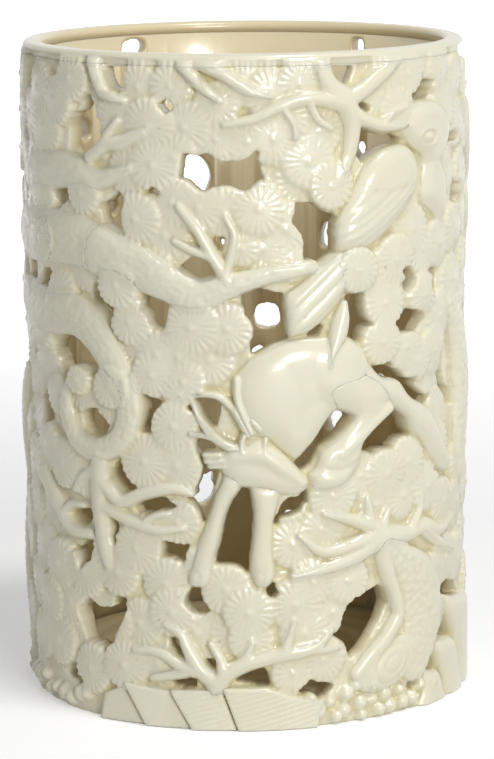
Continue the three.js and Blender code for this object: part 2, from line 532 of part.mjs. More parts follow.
// Openings whose outline was drawn point by point: first the front's, then those of the far
// wall that show through the front's.
const drawnOpenings = [
  [[-27.6, 121.8], [-22.9, 121.8], [-22.4, 118.2], [-24.4, 118.4], [-27, 120.2]],
  [[-34.4, 113.2], [-32.4, 117], [-30.4, 113.8], [-28.7, 111.9], [-29.2, 108.9], [-32.6, 107],
    [-36.4, 105.6], [-37.4, 110], [-36.6, 113]],
  [[-11.6, 107.3], [-7, 107.6], [-3.4, 105.9], [0.4, 106.5], [2.5, 108.2], [2.7, 104], [3.2, 102.2],
    [0.2, 100], [-4, 101.1], [-8.4, 100.1], [-12.5, 102.3]],
  [[-16.5, 115.8], [-14.3, 117.3], [-12.3, 115.6], [-14.4, 113.8]],
  [[-19, 100], [-17.4, 101.5], [-15.4, 99.9], [-16.4, 99]],
  [[-29, 97], [-25.4, 98.8], [-22.9, 99], [-23.6, 94], [-22.4, 91.2], [-24.9, 91.2], [-28.6, 95.2]],
  [[-42.4, 101], [-38, 100.4], [-38.6, 97.4], [-40.4, 96.4], [-42.6, 97.2]],
  [[9.2, 98], [13, 97.8], [17.6, 95.1], [16.8, 89], [14.6, 85.8], [11.5, 84.3], [10.6, 88.7],
    [10.3, 92.4], [8.3, 94.9]],
  [[-5.3, 91.8], [-3.5, 91.8], [-3.5, 90.4], [-5.3, 90.4]],
  [[-13.6, 85.6], [-7.6, 83.6], [-5, 85.4], [-6.4, 87.6], [-11.6, 86.8]],
  [[15.2, 121.8], [21.4, 121.8], [19.9, 119], [17.6, 118.6]],
  [[21.3, 115.6], [23, 116.6], [24.8, 115], [23.4, 113.4]],
  [[22.2, 111.4], [28.4, 109], [32.6, 108.2], [27.6, 107.2], [23.3, 105], [21.5, 108.4]],
  [[34.1, 115], [37, 118], [38, 119.2], [42.6, 118.8], [40.8, 115.6]],
  [[-0.4, 82.2], [7.4, 81.2], [7.2, 76.6], [7.8, 73.2], [3.4, 71.6], [1.2, 71], [1.5, 74],
    [-0.3, 77.9]],
  [[19.2, 78.9], [21.3, 81], [23.9, 81.4], [23.2, 77.6], [26.5, 74.6], [22.2, 72], [20.1, 73.4]],
  [[13, 53.9], [16.6, 59.2], [22.3, 58.1], [18.5, 55.6], [13.8, 53], [12, 49.8], [9.4, 49.8]],
  [[22.4, 51.9], [26.8, 56.6], [29.3, 58.8], [33, 56.4], [36.4, 53.2], [30.4, 51.2], [26, 50.7]],
  [[25, 66.4], [30.2, 67.4], [31.4, 64.9], [37.4, 63.8], [36.6, 61.9], [42, 59.2], [40.4, 58],
    [36.2, 60], [32, 64], [27.8, 64.8]],
  [[31, 73], [33.4, 75.9], [37.6, 76.4], [40.6, 74.9], [36.6, 71.9]],
  [[31.5, 84], [34.6, 84.8], [36.6, 82], [34.8, 79.5]],
  [[40.7, 80], [41.6, 82.6], [44.6, 83.6], [43.6, 79.6], [44.6, 77.6]],
  [[-11.6, 60.4], [-9, 62.9], [-5, 62], [-6.1, 57.2], [-9, 58.4]],
  [[-9.7, 53], [-8.8, 54.9], [-6.3, 54.2], [-7.8, 51.6], [-5.5, 49.2], [-6.9, 44], [-8.4, 39.2],
    [-9.7, 42.6], [-11.4, 44], [-8.9, 47.6], [-9, 51.4]],
  [[-20.4, 63], [-17.4, 62], [-15.8, 60.8], [-18, 55.2], [-20.5, 55.2]],
  [[-20.8, 78.6], [-18.4, 81.6], [-14.9, 79.6], [-14.5, 75.8], [-17.4, 74.9]],
  [[-30.8, 83], [-27.8, 79.2], [-25.2, 77.6], [-27, 73.1], [-31.5, 81]],
  [[-45, 68.6], [-39.4, 71.4], [-35, 70.4], [-30.3, 66], [-31.2, 64.8], [-36.1, 66.4],
    [-38.6, 63.6]],
  [[-24.8, 69.4], [-23.4, 69.2], [-22.4, 66.2], [-23.6, 66]],
  [[-34.3, 58.4], [-30.6, 59.2], [-28.2, 56.2], [-31.4, 53.1], [-34.4, 55.2]],
  [[-24.6, 50], [-23.2, 46.6], [-21.4, 44.9], [-24.4, 43], [-27.9, 45]],
  [[-21.6, 41.2], [-20.2, 43], [-12, 42], [-17, 40.9], [-20, 40]],
  [[-26.8, 38.4], [-25.9, 34], [-27, 33.6], [-27.4, 36.2]],
  [[-39.6, 37.6], [-34, 39], [-35, 36.2], [-37.4, 36.6]],
  [[-38, 31.2], [-31.4, 33.8], [-32.2, 29.6], [-35.6, 27]],
  [[-34.8, 22.2], [-30, 20.6], [-25.8, 23.9], [-23.6, 22], [-26.9, 14.4], [-29.4, 13.2],
    [-34.4, 14.6], [-36.8, 19]],
  [[-14.8, 16.4], [-12, 14.6], [-11.9, 13], [-14, 13.9]],
  [[-8.1, 12.9], [-6.2, 13], [-6, 10], [-7.7, 11.2]],
  [[-14.5, 8.2], [-12.6, 10.1], [-10.3, 8.6], [-12.4, 7.9]],
  [[-41, 6.4], [-38.2, 8.3], [-34.9, 5.6], [-38, 5.4]],
  [[-28.8, 5.5], [-24.6, 5.1], [-27, 3.3]],
  [[-0.6, 45.8], [0.6, 42.6], [1.1, 36.6], [-0.1, 29.6], [-3, 31.1], [-6.3, 30.9], [-4.4, 39],
    [-2.4, 43.4]],
  [[5, 38.8], [6.4, 43], [11.4, 45], [11, 42], [8.4, 40.2]],
  [[-16.5, 35], [-11.4, 35], [-11.7, 31], [-17.4, 31.8]],
  [[-10.9, 26.9], [-8.6, 26.8], [-7.6, 22.4], [-10, 21.6], [-12.3, 23.9]],
  [[3.2, 25.7], [5, 27.5], [6.4, 25.8], [4.8, 24.5]],
  [[-2.5, 9.6], [0.6, 11], [3, 11.3], [4, 8.3], [0.4, 9.1]],
  [[8.6, 7], [12, 9.4], [16.4, 7.3], [13.4, 5.7]],
  [[16.7, 17], [18.5, 21], [20.6, 24.2], [27, 24.9], [28.3, 21.6], [24.8, 16.2], [20.3, 12.6],
    [19.4, 15.6]],
  [[31.9, 30.6], [34.4, 31.4], [37.4, 30], [36.6, 26.8], [33.2, 27.8]],
  [[38.1, 7.8], [40.6, 10.4], [43.4, 6.6], [41.4, 6.2]],
  [[34.9, 4.4], [37.2, 6.8], [37.6, 4.6]],
  [[44.6, 66.8], [47, 68.6], [48, 60.6], [53.4, 56.6], [49.4, 57], [45.6, 61.2]],
  [[41.7, 44.8], [44.6, 47.2], [48.6, 44.6]],
  [[46.5, 20.3], [50, 21.8], [55, 20.6], [58, 17.8], [52, 18.8]],
  [[42, 14.6], [45, 16.6], [48.6, 14], [51.6, 11.6], [46, 11.7]],
  [[48.4, 106.8], [50.6, 108.8], [56, 107.4], [53.6, 105.6]],
  [[50.8, 94], [52, 98.6], [57, 98.6], [57.4, 93.6]],
  [[-105, 118.8], [-105.2, 121], [-106.7, 121.8], [-110.5, 121.8], [-110.2, 119.6],
    [-108.6, 118.2]],
  [[-92, 103], [-91.8, 107], [-93.4, 107.2], [-95, 105.4], [-94.6, 103.4]],
  [[-118, 91], [-118.8, 96.2], [-121.6, 98.2], [-124.6, 96.9], [-125.8, 93.6], [-124.8, 90],
    [-121, 88.6]],
  [[-100, 87.6], [-100.4, 89.8], [-102.6, 90], [-102, 87]],
  [[-98.8, 64.6], [-98.8, 68.8], [-102, 68], [-102.4, 66], [-101.2, 64.4]],
  [[-120.6, 25.6], [-120.8, 28], [-125.2, 33], [-126.8, 33], [-125.6, 27.4], [-124, 25.4]],
  [[105.2, 119.2], [105.2, 121.8], [107.8, 121.8], [107.4, 119]],
  [[107.2, 98.6], [107.2, 100.4], [105.9, 101.2], [104.4, 100.9], [105.4, 97.6]],
  [[116, 79.6], [115.2, 84.6], [113.4, 84], [114, 79.8]],
  [[130.8, 63], [130.8, 66.4], [129.6, 67], [127.4, 67], [125.9, 66.1], [125.6, 63.4], [128, 62.4]],
  [[132.2, 56], [131.6, 57.8], [129.8, 58.4], [128.8, 56.2]],
  [[115, 41.4], [115, 43], [113, 45.2], [111, 45.4], [109.6, 44.6], [110, 42.4], [112, 41.4]],
  [[125.6, 22.2], [124.8, 24], [122.4, 24], [122.4, 22.2]],
  [[93, 64], [92.8, 66.2], [90.8, 66.2], [91.4, 63.8]],
];

// Round or oval openings: [s, z, width, height, turn in degrees]
const ovalOpenings = [
  [-47.6, 56.4, 4.4, 7, 20], [-46.6, 81.4, 5.4, 4.6, -20], [-55.4, 82.4, 4, 5, 0],
  [-128.8, 80.4, 2.4, 2.4, 0], [96, 78.4, 3, 3, 0], [63, 101, 5, 4, 30], [86, 105.4, 4, 5, 0],
  [71, 90.6, 5.6, 3.6, 0], [61, 73, 4, 5, 0], [86, 77, 5, 6, 20], [74, 63, 7, 5, 0],
  [63, 54, 5, 6, 0], [80, 43, 5, 4, 0], [75, 24, 6, 5, 0], [86, 17, 4, 5, 0], [107, 17, 5, 5, 0],
  [113, 98, 5, 4, 0], [128, 98, 5, 5, 0], [100, 51.4, 5, 6, 0], [120, 47, 5, 5, 0],
  [-68, 101, 6, 4.6, 0], [-84, 97, 5, 6, 0], [-70, 69, 6, 5, 0], [-92, 73, 5, 5, 0],
  [-62, 42, 4, 6, 0], [-80, 38, 5, 3.6, 0], [-62, 22, 4, 6, 0], [-97, 18, 5, 6, 0],
  [-98, 39, 6, 7, 0], [-117, 56, 4, 5, 0], [-113, 100, 5, 4.6, 0], [-76, 117.4, 4.6, 3.4, 0],
];

// The band round the wall that the applied pieces fill: clear of the wall by the joint gap,
// of the table and of the lip.
const highestRelief = standing(Math.max(...relief.flatMap(({ made }) => made.map(highestOf))));
const bandRadius = wallRadius + highestRelief + pierceMargin;
const appliedBand = turned([
  [groundRadius + jointGap, footClearance],
  [bandRadius, footClearance],
  [bandRadius, wallTop - jointGap],
  [groundRadius + jointGap, wallTop - jointGap],
  [groundRadius + jointGap, footClearance],
]);

function meshOf(name, solid, finish) {
  const { numProp, vertProperties, triVerts } = solid.simplify(cleanUp).getMesh();
  const positions = new Float32Array(vertProperties.length / numProp * 3);
  for (let i = 0; i < positions.length / 3; i++) {
    positions.set(vertProperties.subarray(i * numProp, i * numProp + 3), i * 3);
  }
  const geometry = new THREE.BufferGeometry();
  geometry.setAttribute('position', new THREE.BufferAttribute(positions, 3));
  geometry.setIndex(new THREE.BufferAttribute(new Uint32Array(triVerts), 1));
  geometry.computeVertexNormals();
  const material = new THREE.MeshStandardMaterial({
    color: finish.colour,
    roughness: finish.roughness,
    metalness: 0,
  });
  const mesh = new THREE.Mesh(geometry, material);
  mesh.name = name;
  return mesh;
}

function makeWall() {
  const tube = turned([
    [boreRadius, 0],
    [groundRadius, 0],
    [groundRadius, wallTop],
    [boreRadius, wallTop],
    [boreRadius, 0],
  ]);
  const tuftBand = turned([
    [boreRadius, footClearance],
    [bandRadius, footClearance],
    [bandRadius, wallTop - jointGap],
    [boreRadius, wallTop - jointGap],
    [boreRadius, footClearance],
  ]);
  const trenches = join(relief.flatMap(({ made }) => made.map(trenchForm)));
  const pines = join(tufts.map(tuft)).intersect(tuftBand).subtract(trenches);
  const outlines = [...drawnOpenings, ...ovalOpenings.map((oval) => roundOutline(oval, openingCorners))];
  return tube.add(pines).subtract(join(outlines.map(piercing)));
}

function makeLip() {
  const thickness = groundRadius - boreRadius;
  const round = Math.min(lipRounding, (thickness - leastFlat) / 2, lipHeight - leastFlat);
  const arcs = Array.from({ length: lipArcs + 1 }, (_, i) => Math.PI / 2 * i / lipArcs);
  const drop = (a) => round * (1 - Math.cos(a));
  return turned([
    [boreRadius, wallTop],
    [groundRadius, wallTop],
    ...arcs.map((a) => [groundRadius - drop(a), potHeight - drop(Math.PI / 2 - a)]),
    ...arcs.map((a) => [boreRadius + drop(Math.PI / 2 - a), potHeight - drop(a)]),
    [boreRadius, wallTop],
  ]);
}

function makeFloor() {
  const radius = boreRadius - floorGap;
  return turned([
    [0, footRecess],
    [radius, footRecess],
    [radius, footRecess + floorThickness],
    [0, footRecess + floorThickness],
  ]);
}

function makeRelief() {
  const placed = [];
  return relief.map(({ name, finish, made }) => {
    let piece = join(made.map((form) => solidForm(form, 0))).intersect(appliedBand);
    for (const earlier of placed) piece = piece.subtract(earlier);
    placed.push(join(made.map((form) => solidForm(form, jointGap))));
    return meshOf(name, piece, finish);
  });
}

const pot = new THREE.Group();
pot.add(meshOf('pierced_wall', makeWall(), glaze));
pot.add(meshOf('lip', makeLip(), glazePale));
pot.add(meshOf('floor', makeFloor(), glazeInside));
pot.add(...makeRelief());

export default pot;
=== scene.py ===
"""A glazed porcelain brush pot with a pierced relief of pines, a deer and a bird.

The relief is set out on a drawing unrolled from the wall: s runs right from the middle of the
front and z runs up from the foot, both in millimetres. Each clay piece is a height field over
that drawing, and becomes a closed mesh wrapped on the wall that the frame gives.
"""
import math
import bpy
import numpy as np
from mathutils import Matrix, Vector
from mathutils.bvhtree import BVHTree


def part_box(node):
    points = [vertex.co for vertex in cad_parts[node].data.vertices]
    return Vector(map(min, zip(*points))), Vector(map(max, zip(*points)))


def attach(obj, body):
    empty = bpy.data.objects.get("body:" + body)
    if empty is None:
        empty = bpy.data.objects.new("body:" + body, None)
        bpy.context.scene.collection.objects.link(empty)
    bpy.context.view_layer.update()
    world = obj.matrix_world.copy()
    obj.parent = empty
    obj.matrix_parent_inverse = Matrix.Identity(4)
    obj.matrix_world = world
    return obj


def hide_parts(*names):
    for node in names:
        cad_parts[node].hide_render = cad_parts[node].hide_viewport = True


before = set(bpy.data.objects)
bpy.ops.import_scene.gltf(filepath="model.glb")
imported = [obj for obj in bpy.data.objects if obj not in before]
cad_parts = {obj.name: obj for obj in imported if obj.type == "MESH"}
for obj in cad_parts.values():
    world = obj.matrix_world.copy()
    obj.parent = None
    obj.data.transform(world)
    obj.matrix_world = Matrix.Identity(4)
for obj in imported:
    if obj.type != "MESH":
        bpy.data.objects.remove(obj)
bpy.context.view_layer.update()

MM = 0.001

# Sizes of the pot, mm: the frame gives the lip and the floor, and these the rest
LIP_OVERHANG = 0.7
WALL_THICKNESS = 3.0
LIP_ROUNDING = 1.1
EDGE_ROUNDING = 0.5
INNER_ROUNDING = 0.5
ROOT = 0.8
FLOOR_GAP = 0.3
FLOOR_CHAMFER = 0.5

# The relief: how much of a piece's drawn rise stands out, and its height where it ends under the lip
RELIEF_SHARE = 0.65
RELIEF_END = 0.2
RELIEF_RUN_OUT = 1.9
GROUND_LEVEL = -0.3
GROUND_BLUR = 0.18
CUT_BLUR = 0.34
# How widely the relief is blurred to find its hollows, and the most depth that counts, mm: the glaze is
# yellower and darker there, partly pooled glaze and partly painted shade
HOLLOW_WIDTH = 1.1
HOLLOW_DEPTH = 1.5

# How finely the meshes are kept
PIECE_TRIANGLES_PER_MM2 = 20
WALL_TRIANGLES = 380000

lip_low, lip_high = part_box("lip")
floor_low, floor_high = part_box("floor")
POT_HEIGHT = lip_high.z / MM
LIP_RADIUS = lip_high.x / MM
WALL_TOP = lip_low.z / MM
FLOOR_BOTTOM = floor_low.z / MM
FLOOR_TOP = floor_high.z / MM
WALL_RADIUS = LIP_RADIUS - LIP_OVERHANG
BORE_RADIUS = WALL_RADIUS - WALL_THICKNESS

# The drawing and its grid, in mm, with a height that stands for nothing there
SHEET_WIDTH = 267.0
CELL = 0.27
COLUMNS = int(SHEET_WIDTH / CELL)
ROWS = int(WALL_TOP / CELL)
DS = SHEET_WIDTH / COLUMNS
DZ = WALL_TOP / ROWS
ABSENT = -2.0

S_LINE = np.arange(COLUMNS) * DS - SHEET_WIDTH / 2
Z_LINE = np.arange(ROWS + 1) * DZ


def blank():
    """A field over the drawing with nothing on it yet."""
    return np.full((ROWS + 1, COLUMNS), ABSENT)


def smooth_max(a, b, softness):
    """The larger of two fields, with a fillet where they are closer than softness."""
    near = np.clip(softness - np.abs(a - b), 0, None)
    return np.maximum(a, b) + near ** 2 / (4 * softness)


def ease(value):
    """0 below 0, 1 above 1, and smooth between."""
    value = np.clip(value, 0, 1)
    return value * value * (3 - 2 * value)


def blur(field, width):
    """A Gaussian blur of the whole drawing, width in mm, round the pot and mirrored at the edges."""
    tall = np.vstack([field, field[::-1]])
    down = np.fft.fftfreq(tall.shape[0], DZ)[:, None]
    along = np.fft.rfftfreq(tall.shape[1], DS)[None, :]
    soft = np.exp(-2 * (math.pi * width) ** 2 * (down ** 2 + along ** 2))
    return np.fft.irfft2(np.fft.rfft2(tall) * soft, s=tall.shape)[:field.shape[0]]


def window(s0, s1, z0, z1):
    """The part of the grid round a form: an index into the fields, and its coordinates."""
    left = SHEET_WIDTH / 2
    columns = np.arange(math.floor((s0 + left) / DS), math.ceil((s1 + left) / DS) + 1)
    rows = np.arange(max(0, math.floor(z0 / DZ)), min(ROWS, math.ceil(z1 / DZ)) + 1)
    s = columns * DS - left
    return np.ix_(rows, columns % COLUMNS), s[None, :], (rows * DZ)[:, None]


def window_round(points, margin):
    """The window round a set of points, with a margin in mm."""
    (s0, z0), (s1, z1) = np.min(points, 0) - margin, np.max(points, 0) + margin
    return window(s0, s1, z0, z1)


def spline(points, spacing=0.3):
    """Points along a Catmull-Rom curve through rows of any number of values."""
    p = np.array(points, float)
    padded = np.vstack([2 * p[0] - p[1], p, 2 * p[-1] - p[-2]])
    found = []
    for i in range(len(p) - 1):
        count = max(2, int(np.hypot(*(p[i + 1, :2] - p[i, :2])) / spacing))
        t = np.linspace(0, 1, count, endpoint=False)[:, None]
        a, b, c, d = padded[i:i + 4]
        found.append(0.5 * (2 * b + (c - a) * t + (2 * a - 5 * b + 4 * c - d) * t ** 2
                            + (3 * b - 3 * c + d - a) * t ** 3))
    return np.vstack(found + [p[-1:]])


def noise01(*keys):
    """A fixed pseudo-random share between 0 and 1 for each set of whole numbers."""
    total = sum(np.asarray(key, float) * factor for key, factor in zip(keys, (127.1, 311.7, 74.7)))
    return np.mod(np.sin(total) * 43758.5453, 1)


def cells(u, v):
    """Distance to the nearest and to the second nearest of one jittered point in each unit square."""
    first = np.full(u.shape, 9.0)
    second = np.full(u.shape, 9.0)
    for du in (-1, 0, 1):
        for dv in (-1, 0, 1):
            cu, cv = np.floor(u) + du, np.floor(v) + dv
            away = np.hypot(cu + 0.2 + 0.6 * noise01(cu, cv, 1) - u,
                            cv + 0.2 + 0.6 * noise01(cu, cv, 2) - v)
            second = np.minimum(second, np.maximum(first, away))
            first = np.minimum(first, away)
    return first, second


def outline_distance(outline, s, z):
    """Signed distance to a closed outline, positive inside."""
    p = np.array(outline, float)
    nearest = np.full(np.broadcast(s, z).shape, 1e9)
    inside = np.zeros(nearest.shape, bool)
    for (s0, z0), (s1, z1) in zip(p, np.roll(p, -1, 0)):
        ds, dz = s1 - s0, z1 - z0
        t = np.clip(((s - s0) * ds + (z - z0) * dz) / (ds ** 2 + dz ** 2), 0, 1)
        nearest = np.minimum(nearest, np.hypot(s - s0 - t * ds, z - z0 - t * dz))
        if z0 != z1:
            inside ^= ((z0 > z) != (z1 > z)) & (s < ds * (z - z0) / dz + s0)
    return np.where(inside, nearest, -nearest)


# Forms: each adds its height above the wall to a field

def add(field, index, height, softness):
    """Lays a form over what a field holds, with a fillet of that softness."""
    field[index] = smooth_max(field[index], height, softness)


# The least half width of a limb, mm
TWIG = 0.75


def stamp_limb(field, points, softness=0.9, bark=0.0, scale=(2.2, 1.5), flat=1.0):
    """A rounded limb along points of s, z, half width and rise, with scales of bark if asked."""
    track = spline(points)
    track[:, 2] = np.maximum(track[:, 2], TWIG)
    reach = track[:, 2].max() + 1
    index, s, z = window_round(track[:, :2], reach)
    shape = (z.shape[0], s.shape[1])
    height = np.full(shape, ABSENT)
    along, across = np.zeros(shape), np.zeros(shape)
    ahead = np.gradient(track[:, :2], axis=0)
    ahead /= np.maximum(np.hypot(ahead[:, 0], ahead[:, 1]), 1e-9)[:, None]
    run = np.concatenate([[0], np.cumsum(np.hypot(*np.diff(track[:, :2], axis=0).T))])
    for (at_s, at_z, half, rise), (along_s, along_z), gone in zip(track, ahead, run):
        c0, c1 = np.searchsorted(s[0], [at_s - half, at_s + half])
        r0, r1 = np.searchsorted(z[:, 0], [at_z - half, at_z + half])
        part = slice(r0, r1), slice(c0, c1)
        ds, dz = s[:, c0:c1] - at_s, z[r0:r1] - at_z
        share = (ds ** 2 + dz ** 2) / half ** 2
        top = rise * np.clip(1 - share ** flat, 0, 1) ** 0.6
        better = (share < 1) & (top > height[part])
        height[part] = np.where(better, top, height[part])
        along[part] = np.where(better, gone + ds * along_s + dz * along_z, along[part])
        across[part] = np.where(better, dz * along_s - ds * along_z, across[part])
    if bark:
        on = height > 0
        first, second = cells(along[on] / scale[0], across[on] / scale[1] + 50)
        height[on] += bark * (ease(1.25 - 1.5 * first) - 0.5)
    add(field, index, height, softness)


def stamp_dome(field, oval, rise, softness):
    """An oval dome: s, z, width, height, turn in degrees."""
    s0, z0, width, height, turn = oval
    reach = max(width, height) / 2 + 1
    index, s, z = window(s0 - reach, s0 + reach, z0 - reach, z0 + reach)
    tilt = math.radians(turn)
    u = (s - s0) * math.cos(tilt) + (z - z0) * math.sin(tilt)
    v = (z - z0) * math.cos(tilt) - (s - s0) * math.sin(tilt)
    share = (2 * u / width) ** 2 + (2 * v / height) ** 2
    dome = np.where(share < 1, rise * np.clip(1 - share, 0, 1) ** 0.5, ABSENT)
    add(field, index, dome, softness)


def soften(field, width):
    """A small blur inside a window of the drawing, width in mm."""
    reach = int(3 * width / DS) + 1
    kernel = np.exp(-0.5 * (np.arange(-reach, reach + 1) * DS / width) ** 2)
    kernel /= kernel.sum()
    padded = np.pad(field, reach, mode="edge")
    rows = np.apply_along_axis(np.convolve, 1, padded, kernel, "valid")
    return np.apply_along_axis(np.convolve, 0, rows, kernel, "valid")


def stamp_form(field, outline, rise, roundness, softness=0.3, smooth=0.6):
    """A full rounded form inside a smooth closed outline, round over that distance from its edge."""
    track = spline([*outline, outline[0]], 0.8)[:-1]
    index, s, z = window_round(track, 2)
    depth = outline_distance(track, s, z)
    share = np.clip(depth / roundness, 0, 1)
    top = soften(np.sqrt(1 - (1 - share) ** 2), smooth)
    edge = ease(np.clip(depth / 0.5, 0, 1) * 0.5 + 0.5) * 2 - 1
    add(field, index, np.where(depth > 0, rise * top * np.sqrt(np.clip(edge, 0, 1)), ABSENT), softness)


# How far a slab's faces lean from the upright, and the depth of its hatching, mm
SLAB_SLANT = 0.6
HATCH_DEPTH = 0.2


def stamp_slab(field, outline, rise, bevel=0.8, hatch=None, fall=0.0):
    """A block with rounded edges, falling off towards its right edge and hatched by lines if asked."""
    p = np.array(outline)
    index, s, z = window_round(p, 1)
    depth = outline_distance(outline, s, z)
    along = s + SLAB_SLANT * z
    left, right = (p @ (1, SLAB_SLANT)).min(), (p @ (1, SLAB_SLANT)).max()
    top = rise - fall * (along - left) / (right - left)
    top = top * np.sqrt(np.clip(1 - (1 - np.clip(depth / bevel, 0, 1)) ** 2, 0, 1))
    if hatch:
        angle, spacing = math.radians(hatch[0]), hatch[1]
        line = (s * math.sin(angle) - z * math.cos(angle)) / spacing
        top = top - HATCH_DEPTH * (1 - np.abs(np.sin(math.pi * line))) * ease(depth / 0.8)
    add(field, index, np.where(depth > 0, top, ABSENT), 0.15)


def carve(field, points, depth, half):
    """A groove of that depth and half width along points of s and z."""
    track = spline(points, 0.5)
    index, s, z = window_round(track, 3 * half)
    nearest = np.full((z.shape[0], s.shape[1]), 1e9)
    for at_s, at_z in track:
        nearest = np.minimum(nearest, (s - at_s) ** 2 + (z - at_z) ** 2)
    field[index] -= depth * np.exp(-nearest / (2 * (half / 1.6) ** 2))


